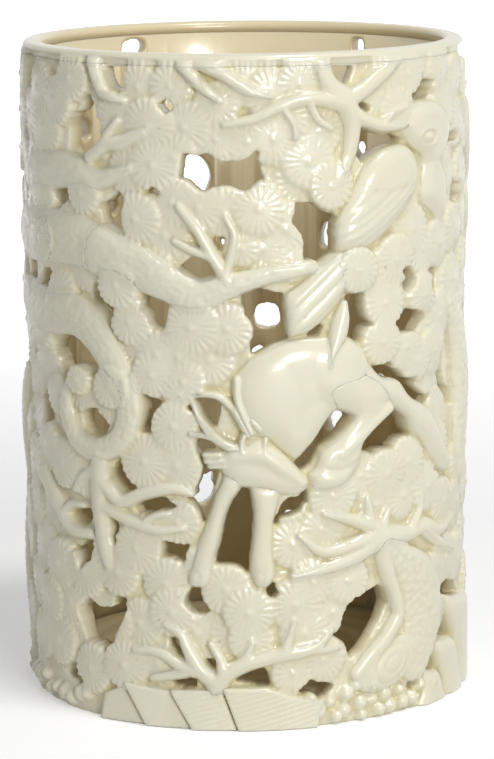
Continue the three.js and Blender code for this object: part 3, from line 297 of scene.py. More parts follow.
# Round tufts of pine needles: s, z, radius
TUFTS = [
   (-20, 119, 4.4), (-13.5, 119.3, 4.4), (-25, 112.8, 5.4), (-17.8, 112, 5.4), (-11, 112, 5.2),
    (-5, 109.8, 4.8), (-5, 116, 4.6), (0, 120, 4.6), (5, 118, 5), (10.4, 119.6, 4.6), (0.6, 109.4, 4.6),
    (5.4, 109.8, 5), (8, 114, 4.6), (12, 105.6, 5.4), (14.2, 111, 4.8), (16.4, 101, 4.8), (27, 117, 5),
    (31, 114, 4.2), (33.6, 120.4, 4.6), (38, 121.6, 4), (29, 121, 4.4), (-17, 105, 5.2),
    (-22.4, 103.6, 4.8), (-13, 106.6, 4.6), (-20.6, 95, 5.2), (-13.4, 98.4, 5), (-15, 92.4, 5.2),
    (-8.4, 97.6, 5), (-3.8, 96.8, 5), (2.6, 97.2, 5.2), (7.4, 93.4, 5.2), (3.2, 90, 5), (8.6, 88, 4.6),
    (-0.6, 90.2, 3.6), (-24.6, 82.6, 5.2), (-22, 76, 4.6), (-20.8, 71.6, 4.8), (-17.4, 85.6, 4.6),
    (-10, 75.6, 5.6), (-3.4, 75.4, 5.2), (-6.6, 69.8, 5.2), (-12.4, 70, 4.8), (-16.6, 70.4, 4.8),
    (-17.6, 66.4, 4.6), (-11.6, 65.4, 4.4), (-34.2, 62.4, 4.8), (-26.6, 61.5, 5.6), (-13.5, 57, 5),
    (-12, 63, 3.8), (-19.6, 50.2, 5.6), (-13, 49.6, 5.6), (-13, 39, 4.6), (-17.4, 38.6, 3.8),
    (-21.4, 33.6, 5.2), (-15.4, 27.2, 5.2), (-14.2, 22, 5), (-4, 26.8, 5.2), (0.2, 22.4, 5.2),
    (0.6, 17.2, 4.6), (-25.6, 28.6, 5), (-9, 31.4, 3.6), (-33, 85, 4.8), (-40, 86, 5), (-46, 88, 4.6),
    (-45, 110, 5.6), (-40.6, 115.4, 5), (-48, 117.4, 5.2), (-36, 119.8, 4.6), (-54, 112, 5.4),
    (-52, 104.8, 4.8), (-33, 99, 4.4), (-46, 98, 4.6), (-37, 93, 4.4), (-52, 95.6, 4.8), (-56, 88, 4.8),
    (-40, 47.4, 5.2), (-34, 46, 4.6), (-46, 49.6, 5), (-53, 46, 5.4), (-47, 66, 5), (-42, 60, 4.4),
    (-53, 62, 5), (-56, 70, 5), (-40, 80, 4.6), (-48, 72, 4.4), (-34, 27.4, 5.2), (-28.4, 33, 3.6),
    (-42, 27.6, 5.2), (-38.6, 20.8, 4.8), (-49.4, 30, 5.4), (-46, 20, 5.2), (-53, 22, 5.2),
    (-42.6, 12.6, 5.2), (-50, 12.4, 5.4), (-32.6, 9, 5.2), (-24.4, 11, 5.2), (-21, 19.4, 5),
    (-17.4, 12, 4.4), (-26, 18.6, 3.8), (-46, 39, 4.8), (-54, 37.6, 5.2), (9, 23.6, 5.2), (10.6, 18.2, 5),
    (14.4, 12.8, 4.8), (8.4, 10.6, 4.4), (12.4, 27.8, 4.8), (19.4, 27.4, 4.8), (16.6, 21.6, 4.4),
    (8.6, 35, 4.8), (14.4, 37.4, 4.6), (16.4, 43.6, 5), (22.2, 46.8, 4.8), (28, 46.4, 5), (34, 48, 5),
    (39.6, 42.4, 5), (32.6, 41.8, 4.8), (26, 41, 4.4), (8, 42, 3.4), (44, 50, 4.8), (28, 78.6, 5),
    (27, 71.4, 4.6), (33, 69.8, 4.6), (36.4, 66.8, 4.4), (35.4, 91.6, 5), (38.4, 87.6, 5),
    (30.4, 86.4, 5), (44.4, 74.2, 5), (42.6, 68, 4.8), (44, 88, 5), (38.6, 79, 4.4), (24.4, 84.6, 4.8),
    (50, 80.6, 5), (51, 90, 5), (46, 113, 5), (53, 118, 5.2), (44, 120.6, 4.6), (54, 109.6, 4.8),
    (46.8, 101, 4.6), (40.6, 24.8, 4.8), (46.4, 27.2, 5.2), (53.4, 26, 5.2), (52.6, 37, 5),
    (45.4, 38.6, 4.8), (54, 44.8, 4.8), (40.4, 17.6, 4.4), (62, 116, 5.4), (70.4, 112, 5.4),
    (61, 108.4, 4.8), (78.4, 113.6, 5.2), (78, 106.4, 5), (69, 104, 4.6), (87, 112.4, 5.4),
    (94.4, 116.6, 5.2), (62, 92, 5), (57.6, 100.4, 4.8), (63, 83, 5.4), (71, 83.4, 5.4),
    (67.4, 76.4, 5.2), (58, 76, 5), (75, 76, 5.2), (79.4, 70.4, 5.2), (70, 68.6, 5.2), (62, 62.4, 5.2),
    (68, 57.4, 5), (66, 46, 5.4), (73.4, 43.6, 5.4), (61.6, 38.8, 5), (69, 36.4, 5.2), (64, 30.6, 5.2),
    (77.6, 36, 5), (83.4, 31, 5.2), (71, 28, 4.8), (79, 26.4, 4.8), (66, 19.4, 5.2), (74, 16.4, 5),
    (81, 20, 4.8), (67, 9.4, 5.2), (88, 8, 5), (95, 90, 5.2), (102, 91.4, 5.4), (109, 92, 5.2),
    (98, 98, 5), (88.4, 72, 5), (96, 105.4, 5.2), (99.4, 112.4, 5.4), (107, 114, 5.2), (112.4, 107, 5.2),
    (106, 106, 4.8), (118.4, 112, 5.2), (120, 92.6, 5.4), (113.4, 91, 4.6), (121, 85, 5.2),
    (128, 88, 5.2), (107, 82.4, 5), (105.6, 70, 5.2), (110.4, 63.6, 5.4), (117.4, 67.4, 5.4),
    (122.4, 73.6, 5.2), (129.4, 75, 5.2), (118.6, 59.4, 5.2), (108, 55.6, 5), (124.4, 54, 5.2),
    (104.6, 43.4, 5.2), (119.4, 40.6, 5.2), (127.4, 42.6, 5.2), (131.6, 49.4, 5), (106, 33, 5.4),
    (113, 31.4, 5.2), (127, 34.4, 5.2), (106.4, 25, 5.2), (115.4, 23.4, 5.2), (131.4, 19, 5.2),
    (124, 16, 5.2), (117, 13, 5.2), (110.6, 20, 4.4), (129.4, 29.6, 4.6), (80, 55, 5), (94, 55, 5),
    (97, 45, 4.8), (80, 86, 4.8), (92, 68, 4.8), (88, 63, 4.6), (75, 57, 4.6), (-62, 112, 5.4),
    (-69.4, 111, 5.4), (-76, 106.6, 5.2), (-66, 104.4, 5), (-60, 104, 4.8), (-83.6, 109.4, 5.4),
    (-70, 118.6, 4.6), (-84, 117.4, 5), (-60, 119, 4.8), (-90, 112, 4.8), (-62, 96, 5), (-69, 93.6, 5.4),
    (-76.4, 92.4, 5.2), (-67, 86.4, 5.2), (-75, 84.6, 5.4), (-82, 86, 5.2), (-66, 79, 5.2),
    (-73.4, 77, 5.2), (-80.4, 78, 5.2), (-87, 80.4, 5.2), (-94, 83, 5.2), (-62, 71.6, 4.8),
    (-77, 69.4, 5), (-84.4, 70, 5.2), (-90.4, 65, 5.2), (-84, 61.4, 5.2), (-76, 62, 5), (-73, 55.4, 4.8),
    (-62, 52, 4.8), (-61, 36, 5.2), (-66.6, 31, 4.8), (-84, 35, 5.4), (-90, 30.4, 5.4),
    (-85.4, 25.4, 5.2), (-80, 19.6, 5), (-92, 22.4, 5.2), (-88, 14.4, 5.2), (-62, 15, 5.2),
    (-61, 28.6, 4.4), (-66, 8, 5), (-91, 43, 5), (-86, 53, 5), (-93, 56, 5.4), (-98.6, 51.4, 5.2),
    (-104, 50, 4.8), (-97, 60.4, 5), (-104, 39, 4.8), (-97, 29, 5), (-118, 28, 4.8), (-117.6, 20.6, 5.2),
    (-124.4, 19.4, 5.2), (-131, 24, 5.2), (-128.4, 34, 5.2), (-124.6, 39.6, 5.2), (-117, 39, 4.6),
    (-130.6, 42.4, 5), (-116, 12.4, 5), (-124, 12.4, 5), (-131.4, 12.6, 5), (-120.4, 61.4, 5.2),
    (-127, 63.4, 5.2), (-120, 70, 5.4), (-127.4, 72.6, 5.4), (-114, 68, 5), (-112, 84, 5.2),
    (-118.6, 82, 5.4), (-125.4, 82.8, 4.8), (-98, 97.6, 5.2), (-105, 99.6, 5.2), (-101, 107.4, 5.4),
    (-108.6, 108.4, 5.2), (-94, 95, 4.8), (-87, 102.4, 4.8), (-115.4, 106.4, 5), (-121, 112, 5.2),
    (-101, 115.4, 5), (-116, 116.4, 4.6), (-112.6, 92, 4.8), (-130.4, 90, 5), (-128, 119, 4.8),
    (-96, 75.6, 4.8), (-90, 88.6, 4.8),
]


# Tufts that lie over the trunks, in the same form
OVERLYING = [(-24.4, 82.8, 4.6), (-26.2, 63.6, 4.4), (-34.3, 64.2, 3.2), (-44.6, 89.6, 4.6),
             (21.4, 85.3, 4.6)]

# A tuft's needles to each mm of its radius, and in mm its rise at the edge and further in the middle, the
# depth between its needles, the most it lies above the next, and how high one over a trunk lies
NEEDLES_PER_MM = 3.9
EDGE_RISE = 0.62
CROWN_RISE = 0.38
NEEDLE_DEPTH = 0.36
LAYERS = 0.8
OVERLAY = 1.5


def tuft_height(radius, across, up, turn, layer):
    """A low disc of radial needles, seen from its tip, with a scalloped edge."""
    needles = round(radius * NEEDLES_PER_MM)
    far = np.hypot(across, up)
    around = np.arctan2(up, across) + turn
    ridge = np.abs(np.sin(needles * around / 2))
    share = far / (radius * (1 - 0.05 * (1 - ridge) ** 2))
    crown = EDGE_RISE + CROWN_RISE * (1 - share ** 2)
    grooves = NEEDLE_DEPTH * (1 - ridge) * ease((share - 0.08) / 0.3)
    tip = 0.18 * np.exp(-(share / 0.12) ** 2) - 0.12 * np.exp(-((share - 0.2) / 0.07) ** 2)
    lean = 0.25 * share * np.cos(around - turn * 3)
    edge = np.sqrt(np.clip(1 - (np.clip(share - 0.88, 0, 1) / 0.12) ** 2, 0, 1))
    return np.where(share < 1, (crown - grooves + tip + lean + layer) * edge, ABSENT)


def make_tufts():
    field = blank()
    for number, (s0, z0, radius) in enumerate(TUFTS + OVERLYING):
        index, s, z = window(s0 - radius, s0 + radius, z0 - radius, z0 + radius)
        layer = LAYERS * float(noise01(number, 3, 5)) if number < len(TUFTS) else OVERLAY
        turn = 6.28 * float(noise01(number, 7, 2))
        disc = tuft_height(radius, s - s0, z - z0, turn, layer)
        field[index] = np.maximum(field[index], disc)
    return field


# The applied pieces: for each node, a function that fills a field with that clay piece

PIECES = {}


def piece(node, joined=1.3):
    """Keeps a function as the maker of a node's piece, and how softly that joins the rest, in mm."""
    def keep(make):
        PIECES[node] = (make, joined)
        return make
    return keep


def limb_piece(node, joined, limbs, **first):
    """A piece made of limbs only. The settings are those of its first limb."""
    def make(field):
        for number, points in enumerate(limbs):
            stamp_limb(field, points, **(first if number == 0 else {}))
    PIECES[node] = (make, joined)


def slab_piece(node, joined, outline, rise, **settings):
    """A piece that is one slab."""
    PIECES[node] = (lambda field: stamp_slab(field, outline, rise, **settings), joined)


def form_piece(node, joined, outline, rise, roundness, **settings):
    """A piece that is one rounded form."""
    PIECES[node] = (lambda field: stamp_form(field, outline, rise, roundness, **settings), joined)


BODY = [(-2.8, 66), (-0.6, 68.2), (1.1, 70.1), (4.2, 71.8), (7.5, 73), (10.4, 73.4), (14.3, 73.4),
        (17.8, 73.4), (20.3, 72.8), (22.4, 70.8), (23.6, 68), (24, 64.8), (21.6, 61.6), (18.6, 59.9),
        (16.6, 59.1), (15, 57.2), (13.1, 54.4), (11.1, 52.3), (9.4, 50.7), (6.6, 52.4), (4.1, 54.6),
        (0.4, 56), (-1, 59), (-2.3, 62.3)]
HEAD = [(-6.8, 51.8), (-4.3, 53), (-2.5, 53.4), (-0.7, 54), (0.1, 55.8), (2.2, 56.2), (4.1, 55.2),
        (6.6, 52.9), (8.9, 50.4), (11.1, 47.9), (11.9, 46.7), (11.6, 45.3), (10.2, 44.4), (8.1, 44.2),
        (5.9, 44.4), (3.6, 45.1), (0.4, 45.8), (-1.1, 45.7), (-2.6, 46.5), (-4.2, 48.2), (-5.2, 49.6),
        (-6.2, 50.6)]
EAR = [(0.5, 60), (1.5, 59.5), (2.8, 58.3), (3.4, 57), (3, 55.9), (2.1, 56), (1, 57.2), (0.2, 58.6)]
SHANK = [(19.6, 60.2), (22.6, 62.2), (25.4, 61.2), (27.6, 60.1), (29.3, 59.2), (29.5, 58.3), (27.9, 57.1),
         (25.5, 55.5), (23.7, 54), (22.6, 52.1), (22.3, 50.2), (21.3, 48.4), (20.3, 47.2), (19, 46),
         (17, 45.1), (14.2, 45.2), (12.5, 46.2), (11.4, 47.4), (11.7, 48.4), (12.8, 49.2), (13.4, 50.6),
         (14, 52.1), (15.8, 53.6), (17.8, 55.2), (19.4, 56.9), (20.4, 58.2), (18.4, 59.4)]
FAR_LEG = [(21.6, 72), (22.6, 70.4), (24, 68.2), (25.8, 66.1), (27.6, 64.8), (29.9, 64.4), (31.7, 63.6),
           (33, 61.9), (34.7, 60.1), (37.7, 58.7), (40.7, 57.1), (42.6, 54.6), (44.6, 51.7), (47, 48.4),
           (49, 45.6), (46.6, 43.8), (44, 44.6), (41.6, 46.8), (38.9, 49.8), (37.1, 52), (34.7, 53.7),
           (33.6, 55.9), (31.7, 57.5), (29.6, 58.7), (27.4, 60), (25.1, 61.4), (22.9, 63.3), (21.1, 64.9)]
LEFT_FORELEG = [(-4.2, 49), (-4.9, 46.7), (-5.9, 44.8), (-6.6, 42.5), (-7.4, 39.9), (-8.3, 37.6),
                (-9.2, 35.6), (-10, 33.3), (-10.6, 31.1), (-11.3, 28.8), (-10.9, 27.1), (-9.2, 26.7),
                (-7.2, 27.3), (-6.5, 29), (-6.2, 30.9), (-5.8, 32.8), (-5, 35), (-4.5, 37.3),
                (-3.9, 39.9), (-3.1, 42.2), (-2, 44.1), (-0.9, 45.6), (-0.7, 48)]
RIGHT_FORELEG = [(0.2, 47), (0.9, 43.7), (1.1, 41.4), (1, 38.8), (0.8, 36.2), (0.5, 33.9), (0.3, 31.7),
                 (0.5, 29.8), (1.3, 27.5), (2.8, 26.8), (4.5, 27.5), (5.3, 29.7), (5.1, 32), (4.9, 34.2),
                 (5, 36.8), (5.2, 39.5), (5.7, 41.7), (6.3, 43.9), (6.4, 46)]


@piece("deer_body", joined=0.5)
def deer_body(field):
    stamp_form(field, BODY, 3.4, 4.2, smooth=1.4)
    stamp_dome(field, (4, 62.4, 12, 15, -12), 3.3, 2.5)
    stamp_dome(field, (17.8, 67.4, 12, 10, 10), 3.8, 2.5)
    stamp_limb(field, [(-1.6, 66, 0.9, 3), (-1.5, 62.6, 0.9, 3.5), (-0.4, 59.4, 0.9, 3.9),
                       (1, 56.4, 0.9, 4)], 1.2)
    carve(field, [(10, 57), (11.4, 60.4), (14, 62)], 0.3, 1.6)


@piece("deer_head", joined=0.4)
def deer_head(field):
    stamp_form(field, HEAD, 3.5, 2.6, smooth=0.8)
    stamp_limb(field, [(-2, 52, 1.8, 3.5), (2.6, 52.2, 2.1, 3.9), (6.8, 49.6, 1.8, 3.8),
                       (10.2, 46.9, 1.3, 3.3)], 2.2)
    stamp_form(field, EAR, 4.4, 0.9, 0.5, smooth=0.3)
    carve(field, [(1.1, 58.9), (2.5, 56.9)], 0.35, 0.5)
    stamp_limb(field, [(-0.3, 55.8, 0.7, 3.8), (-0.8, 54.2, 0.7, 4), (-0.7, 52.4, 0.7, 3.8)], 0.6)
    stamp_limb(field, [(3.5, 55, 0.7, 4.1), (3.3, 53.4, 0.7, 4.2), (3.4, 51.8, 0.7, 4)], 0.6)
    for tip_s, tip_z in ((-7.6, 52), (-7.3, 50.9), (-6.6, 49.9)):
        stamp_limb(field, [(tip_s + 2.8, tip_z + 0.2, 0.6, 3.3), (tip_s, tip_z, 0.5, 2.6)], 0.4)
    carve(field, [(1.5, 50.2), (2.7, 50.9), (3.9, 50)], 0.2, 0.4)
    carve(field, [(11.7, 46.1), (9.8, 45.6), (7.8, 45.5)], 0.2, 0.4)
    carve(field, [(10.9, 47.4), (10.3, 47)], 0.25, 0.4)


@piece("deer_left_antler", joined=0.8)
def deer_left_antler(field):
    stamp_limb(field, [(-0.4, 53, 1.3, 3.4), (-2.8, 53.5, 1.2, 3.2), (-5.1, 54.7, 1.05, 3),
                       (-6.9, 56.5, 0.9, 2.9), (-8.4, 58.6, 0.8, 2.8), (-9.5, 61.2, 0.6, 2.5)], 0.6)
    stamp_limb(field, [(-4.8, 54.6, 0.9, 2.9), (-7.2, 55.5, 0.8, 2.7), (-10.2, 55.8, 0.6, 2.3)], 0.6)


limb_piece("deer_right_antler", 0.8, [
    [(0.4, 56, 1, 3.6), (-1, 58.6, 1, 3.4), (-2.6, 61, 0.95, 3.1), (-4.3, 62.5, 0.9, 2.9),
     (-6.1, 63.2, 0.85, 2.7), (-8.8, 63.2, 0.7, 2.4)],
], softness=0.6)


@piece("deer_near_hindleg", joined=1.4)
def deer_near_hindleg(field):
    stamp_dome(field, (20.8, 62.8, 18, 8.6, -18), 4.3, 2)
    stamp_form(field, SHANK, 3.5, 2, 1.6, smooth=0.6)
    stamp_limb(field, [(28, 59, 1.4, 3.9), (25, 57, 1.4, 3.8), (21.6, 54.4, 1.5, 3.8),
                       (18, 51.6, 1.9, 3.8)], 1.6)
    stamp_dome(field, (15.8, 46.9, 8, 3.8, 10), 3.8, 1)
    carve(field, [(12.6, 49.4), (15.5, 48.8), (18.6, 48.8), (21.6, 50)], 0.4, 0.7)
    carve(field, [(17, 54.4), (19.6, 51.4)], 0.15, 0.6)


limb_piece("deer_tail", 1.2, [
    [(15.3, 68.2, 0.8, 4), (15.7, 70, 0.8, 4.3), (16.6, 72, 1.5, 4), (17.6, 74, 2, 3.6),
     (18.3, 76.4, 1.8, 3), (18.8, 79.2, 0.9, 2.4)],
], softness=1.2)

form_piece("deer_far_hindleg", 1, FAR_LEG, 3.1, 2.4, smooth=0.7)


def hoof_marks(field, s0, z0):
    """The cleft of a hoof, and the fold above it."""
    carve(field, [(s0, z0 + 1.6), (s0, z0 - 0.6)], 0.3, 0.45)
    carve(field, [(s0 - 2.4, z0 + 2.8), (s0, z0 + 2.2), (s0 + 2.4, z0 + 2.8)], 0.2, 0.6)


@piece("deer_left_foreleg", joined=0.6)
def deer_left_foreleg(field):
    stamp_form(field, LEFT_FORELEG, 3.1, 1.9, smooth=0.5)
    hoof_marks(field, -8.9, 27.8)


@piece("deer_right_foreleg", joined=0.6)
def deer_right_foreleg(field):
    stamp_form(field, RIGHT_FORELEG, 3.1, 1.9, smooth=0.5)
    hoof_marks(field, 2.9, 27.8)


WING = [(17, 93.3), (17.7, 95.1), (19.5, 98.2), (21.2, 101), (22.9, 103.8), (24.4, 105.2), (26.9, 106.8),
        (30.3, 107.6), (33.2, 107.2), (35.4, 105.7), (36.6, 103.2), (36.5, 100.4), (35, 97.6), (32.4, 95),
        (29.6, 92.7), (26.8, 90.7), (23.7, 89.1), (21.2, 88.5), (18.7, 88.5), (17.3, 89.2), (16.9, 91.1)]
FEATHERS = [
    [(33.4, 97.6), (28.4, 93.8), (23, 90.6)],
    [(34, 99.8), (29.3, 96), (23.7, 92.2), (18.6, 89.8)],
    [(31.8, 99.4), (26.9, 96.2), (20.7, 92.4), (17.2, 91.2)],
    [(28.3, 98.8), (23.7, 95.7), (18.4, 93)],
    [(24.6, 99.2), (21.6, 97), (18.6, 94.9)],
]
BIRD_HEAD = [(32.9, 114.2), (36, 115.2), (41.2, 114.9), (45.2, 113.3), (47.2, 110.8), (47.2, 108.2),
             (45.9, 105.4), (44.2, 103.3), (42.4, 100.3), (39.8, 101.9), (37.8, 104.8), (34.6, 106.6),
             (32.4, 108.9), (32, 111.5)]
BREAST = [(37.4, 106.4), (44.6, 103.4), (46.6, 99), (46.8, 94.6), (44.6, 91), (42, 93.6), (38, 96.4),
          (37.6, 100.4), (38, 103.4)]
BIRD_TAIL = [(22, 86.6), (20.4, 89), (17.4, 88.8), (13.8, 86.6), (9.6, 83), (7.2, 81.2), (7.3, 77.4),
             (7.8, 73.6), (9.4, 73.6), (12.4, 74.6), (15.6, 77.2), (19.2, 81.4)]


@piece("bird_wing", joined=0.5)
def bird_wing(field):
    stamp_form(field, WING, 3.7, 3.4, smooth=0.9)
    for feather in FEATHERS:
        carve(field, feather, 0.3, 0.55)
    carve(field, [(21.6, 100.6), (25.1, 99.3), (29.3, 99.2), (32.9, 100.3), (34.6, 102.4)], 0.25, 0.8)


@piece("bird_head_and_breast", joined=0.7)
def bird_head_and_breast(field):
    stamp_form(field, BREAST, 2.8, 2.6, 1.5, smooth=0.9)
    stamp_form(field, BIRD_HEAD, 3.8, 3.6, 1.2, smooth=0.8)
    index, s, z = window(34, 43, 105, 112)
    far = np.hypot((s - 38.1) * 0.66, z - 108.4)
    field[index] += 0.3 * np.exp(-((far - 1.6) / 0.3) ** 2) + 0.5 * np.exp(-(far / 0.75) ** 4)
    field[index] -= 0.3 * np.exp(-((far - 1.1) / 0.3) ** 2)
    carve(field, [(38.6, 103.4), (41.4, 103.8), (44.2, 103)], 0.25, 0.5)


@piece("bird_tail", joined=0.3)
def bird_tail(field):
    stamp_form(field, BIRD_TAIL, 3.1, 2.2, smooth=0.5)
    index, s, z = window(6, 23, 72, 90.5)
    slope = math.radians(43)
    side = (z - 81) * math.cos(slope) - (s - 14) * math.sin(slope)
    quills = 1 - np.abs(np.sin(math.pi * (side + 0.5) / 2.2))
    field[index] -= 0.4 * quills * ease(outline_distance(BIRD_TAIL, s, z))


# The bark's depth and the length and width of its scales, mm, and how flat the limb's top is
BARK = dict(bark=0.36, scale=(1.6, 1.35), flat=1.7)
TRUNK_BARK = dict(bark=0.3, scale=(1.4, 1.2), flat=1.4)

limb_piece("branch_below_tail", 1.6, [
    [(12.6, 86.4, 1.3, 2.2), (5, 85.2, 1.7, 2.5), (-3, 83.2, 2.4, 2.7), (-9, 81.4, 3, 2.8),
     (-15, 83.6, 3.6, 3), (-21, 86.4, 4.2, 3.1), (-28.6, 88.6, 4.9, 3.2)],
    [(-3.4, 84.6, 1.5, 2.8), (-5.8, 88.6, 1.4, 2.8), (-8.4, 93, 1.2, 2.7), (-12, 97.6, 0.9, 2.3)],
    [(-6, 88.4, 1.1, 2.7), (-9.4, 89.6, 1, 2.5), (-12.8, 91.2, 0.8, 2.1)],
    [(-3.6, 85.2, 1.2, 2.7), (-2.4, 89, 1.1, 2.6), (-1.9, 92.6, 0.9, 2.4), (-3.4, 95.8, 0.8, 2)],
], **TRUNK_BARK)

limb_piece("upper_left_trunk", 1.6, [
    [(-25, 87.8, 3.4, 2), (-29.6, 88.8, 4.6, 2.6), (-36, 90.2, 5.2, 3.2), (-43, 90, 5.4, 3.2),
     (-52, 89.6, 5.4, 3), (-57, 90.4, 4.6, 2.6)],
], **TRUNK_BARK)

limb_piece("curled_trunk", 1.6, [
    [(-57, 77, 4, 2.4), (-52, 75.8, 4.6, 2.7), (-44, 75.8, 4.6, 2.9), (-36, 76, 4.2, 3),
     (-30.4, 73, 3.8, 3), (-26.2, 68, 3.4, 3), (-22.8, 62.4, 3, 3), (-23, 57, 2.7, 3),
     (-26, 52.8, 2.5, 3), (-31, 51.2, 2.4, 3), (-35.8, 52.6, 2.2, 2.9), (-38.3, 56.4, 2, 2.7),
     (-38.4, 60.4, 1.6, 2.4), (-37.2, 63.6, 1.2, 2)],
], **TRUNK_BARK)

limb_piece("lower_left_branch", 1.5, [
    [(-29.6, 50, 2.2, 2.9), (-29.8, 45, 2.4, 3), (-29.6, 39, 2.2, 2.9), (-28.6, 33, 1.8, 2.5),
     (-27.8, 29.6, 1.2, 2)],
    [(-29, 45.4, 1.8, 2.9), (-25, 42.2, 1.5, 2.8), (-20, 43.9, 1.4, 2.7), (-14, 45.4, 1.2, 2.5),
     (-10.2, 44.6, 0.8, 2.1)],
    [(-28.6, 40.8, 1.7, 2.8), (-23, 38.8, 1.4, 2.6), (-17, 37.4, 1.1, 2.4), (-12, 38, 0.7, 2)],
    [(-20, 38.2, 0.9, 2.4), (-17.6, 40, 0.8, 2.2), (-15, 40.6, 0.5, 1.9)],
    [(-30, 47.4, 1.4, 2.6), (-33.6, 46, 1.1, 2.3), (-36.4, 42.8, 0.7, 2)],
])

limb_piece("left_side_branch", 1.5, [
    [(-48, 44, 2.4, 2.6), (-42, 39, 2, 2.7), (-38, 35.2, 1.7, 2.5), (-32.4, 34.8, 1.2, 2.1)],
    [(-40.6, 37.6, 1.3, 2.5), (-37.8, 39.8, 1, 2.2), (-34.4, 40, 0.6, 1.9)],
])

limb_piece("upper_left_branch", 1.6, [
    [(-52, 101, 3.4, 2.6), (-46, 101.8, 3.6, 2.8), (-40, 102.6, 3.6, 2.9), (-34, 102.6, 3, 2.9),
     (-29, 101.8, 2.2, 2.7), (-25, 102.8, 1.5, 2.4), (-21.6, 104.2, 0.9, 2)],
    [(-31, 105.6, 1.4, 2.5), (-27, 108.2, 1.5, 2.8), (-23.2, 108.9, 1.5, 2.7), (-18.6, 110.8, 0.9, 2.2)],
    [(-28, 107.6, 1.3, 2.6), (-26.2, 110.4, 1.1, 2.4), (-24.2, 112.6, 0.8, 2)],
], softness=1.2, bark=0.25)

limb_piece("rim_branch_left", 1.5, [
    [(-30, 123, 1.6, 2.4), (-28.6, 119.4, 1.5, 2.6), (-27.2, 117.4, 1.3, 2.4), (-23, 116.4, 0.7, 2)],
])

limb_piece("rim_branch_middle", 1.5, [
    [(-11, 123, 1.5, 2.7), (-8.2, 120, 1.4, 2.7), (-4.2, 116.8, 0.9, 2.3)],
    [(-8.6, 124, 1.6, 2.7), (-3.6, 121.5, 1.4, 2.7), (0.8, 118.6, 1.2, 2.5), (5, 117.4, 0.8, 2)],
])

limb_piece("rim_branch_right", 1.5, [
    [(14, 124, 1.9, 2.7), (16, 119.2, 2, 2.9), (19, 116.4, 2.4, 3.1), (20.6, 112, 2, 2.8),
     (20.2, 107, 1.6, 2.2), (18, 102, 1.1, 1.6)],
    [(19.4, 116, 1.9, 3.1), (23.6, 118.4, 1.7, 2.9), (28, 121.3, 1.5, 2.6), (31, 123.6, 1.2, 2.2)],
    [(20, 114.6, 1.8, 3), (23.4, 112.4, 1.5, 2.8), (28, 111, 1.2, 2.6), (33.4, 111, 0.8, 2.1)],
    [(19.4, 115.6, 1.8, 3), (12.4, 117, 1.5, 2.8), (6.6, 115.6, 1.3, 2.6), (2, 113.6, 1.1, 2.4),
     (-3.4, 112.4, 0.7, 2)],
    [(12, 116.6, 1.1, 2.6), (13.6, 113.2, 0.9, 2.4), (16.2, 111.4, 0.6, 2)],
    [(7, 115.6, 1, 2.4), (9, 112.6, 0.8, 2.2), (9.4, 110, 0.5, 1.9)],
    [(27, 111.2, 0.9, 2.4), (29.6, 113.6, 0.7, 2.1), (32.4, 114.4, 0.5, 1.8)],
])


@piece("right_trunk_with_knot", joined=1.4)
def right_trunk_with_knot(field):
    stamp_limb(field, [(36, 9, 4, 2.2), (38, 13.6, 5.4, 2.6), (38.8, 19, 6.4, 2.8),
                       (36.6, 24.6, 5.6, 2.8), (32, 29.6, 3.4, 2.9), (27.6, 34, 2.3, 3)],
               0.8, bark=0.4, scale=(1.7, 1.5), flat=1.7)
    stamp_limb(field, [(21.4, 9.2, 1.6, 2.4), (24.4, 12.2, 1.8, 2.8), (28, 15.2, 1.8, 3),
                       (30.9, 19.2, 1.7, 3), (30, 23.4, 1.7, 3), (28.2, 28, 1.8, 3), (27, 32.4, 2, 3)], 1)
    stamp_dome(field, (28.6, 10, 17, 9.4, 18), 3.2, 1)
    knot, s, z = window(18, 39, 3, 18)
    tilt = math.radians(33)
    u = (s - 29) * math.cos(tilt) + (z - 10.2) * math.sin(tilt)
    v = (z - 10.2) * math.cos(tilt) - (s - 29) * math.sin(tilt)
    far = np.hypot(u / 1.45, v)
    rings = 1 - np.abs(np.sin(math.pi * far / 1.5))
    field[knot] -= 0.42 * rings * ease((4.4 - far) / 1.2) * ease(far / 0.7)


@piece("right_branch", joined=1.5)
def right_branch(field):
    stamp_limb(field, [(27.6, 35, 2.4, 3.2), (22, 32.2, 1.8, 3), (15.6, 30.3, 1.4, 2.7),
                       (8.6, 29, 0.8, 2.2)], 0.5)
    stamp_limb(field, [(26, 35.4, 2, 3.2), (19.6, 33.8, 1.4, 2.8), (14.2, 33.3, 1.2, 2.6),
                       (9.8, 36.6, 0.8, 2.2)])
    stamp_limb(field, [(25.6, 36.6, 1.8, 3), (20.4, 38.7, 1.3, 2.7), (14.6, 40.4, 0.8, 2.2)])
    stamp_limb(field, [(24.4, 37.2, 1.4, 2.8), (23.4, 42.6, 0.8, 2.2)])
    stamp_limb(field, [(27, 36, 1.4, 2.8), (28.2, 39.6, 0.8, 2.2)])
    stamp_limb(field, [(27.6, 35, 2.2, 3.2), (33.6, 34.2, 1.8, 2.9), (39, 35, 1.6, 2.7),
                       (44, 33.2, 1.4, 2.5), (49.4, 34.8, 0.9, 2)], 0.5)
    stamp_limb(field, [(38, 34.6, 1.5, 2.7), (44, 30.8, 1.3, 2.4), (49.4, 28.6, 0.8, 2)])
    stamp_limb(field, [(34, 34.4, 1.2, 2.7), (36.8, 38, 0.9, 2.4), (37.4, 41.2, 0.5, 2)])


limb_piece("right_edge_trunk", 1.3, [
    [(49.6, 76, 2.8, 2.4), (53.4, 68, 3.9, 3.2), (54.8, 60, 4.2, 3.6), (54.6, 51, 3.7, 3.2),
     (54.6, 43, 2.6, 2.6)],
], softness=0.6, **BARK)

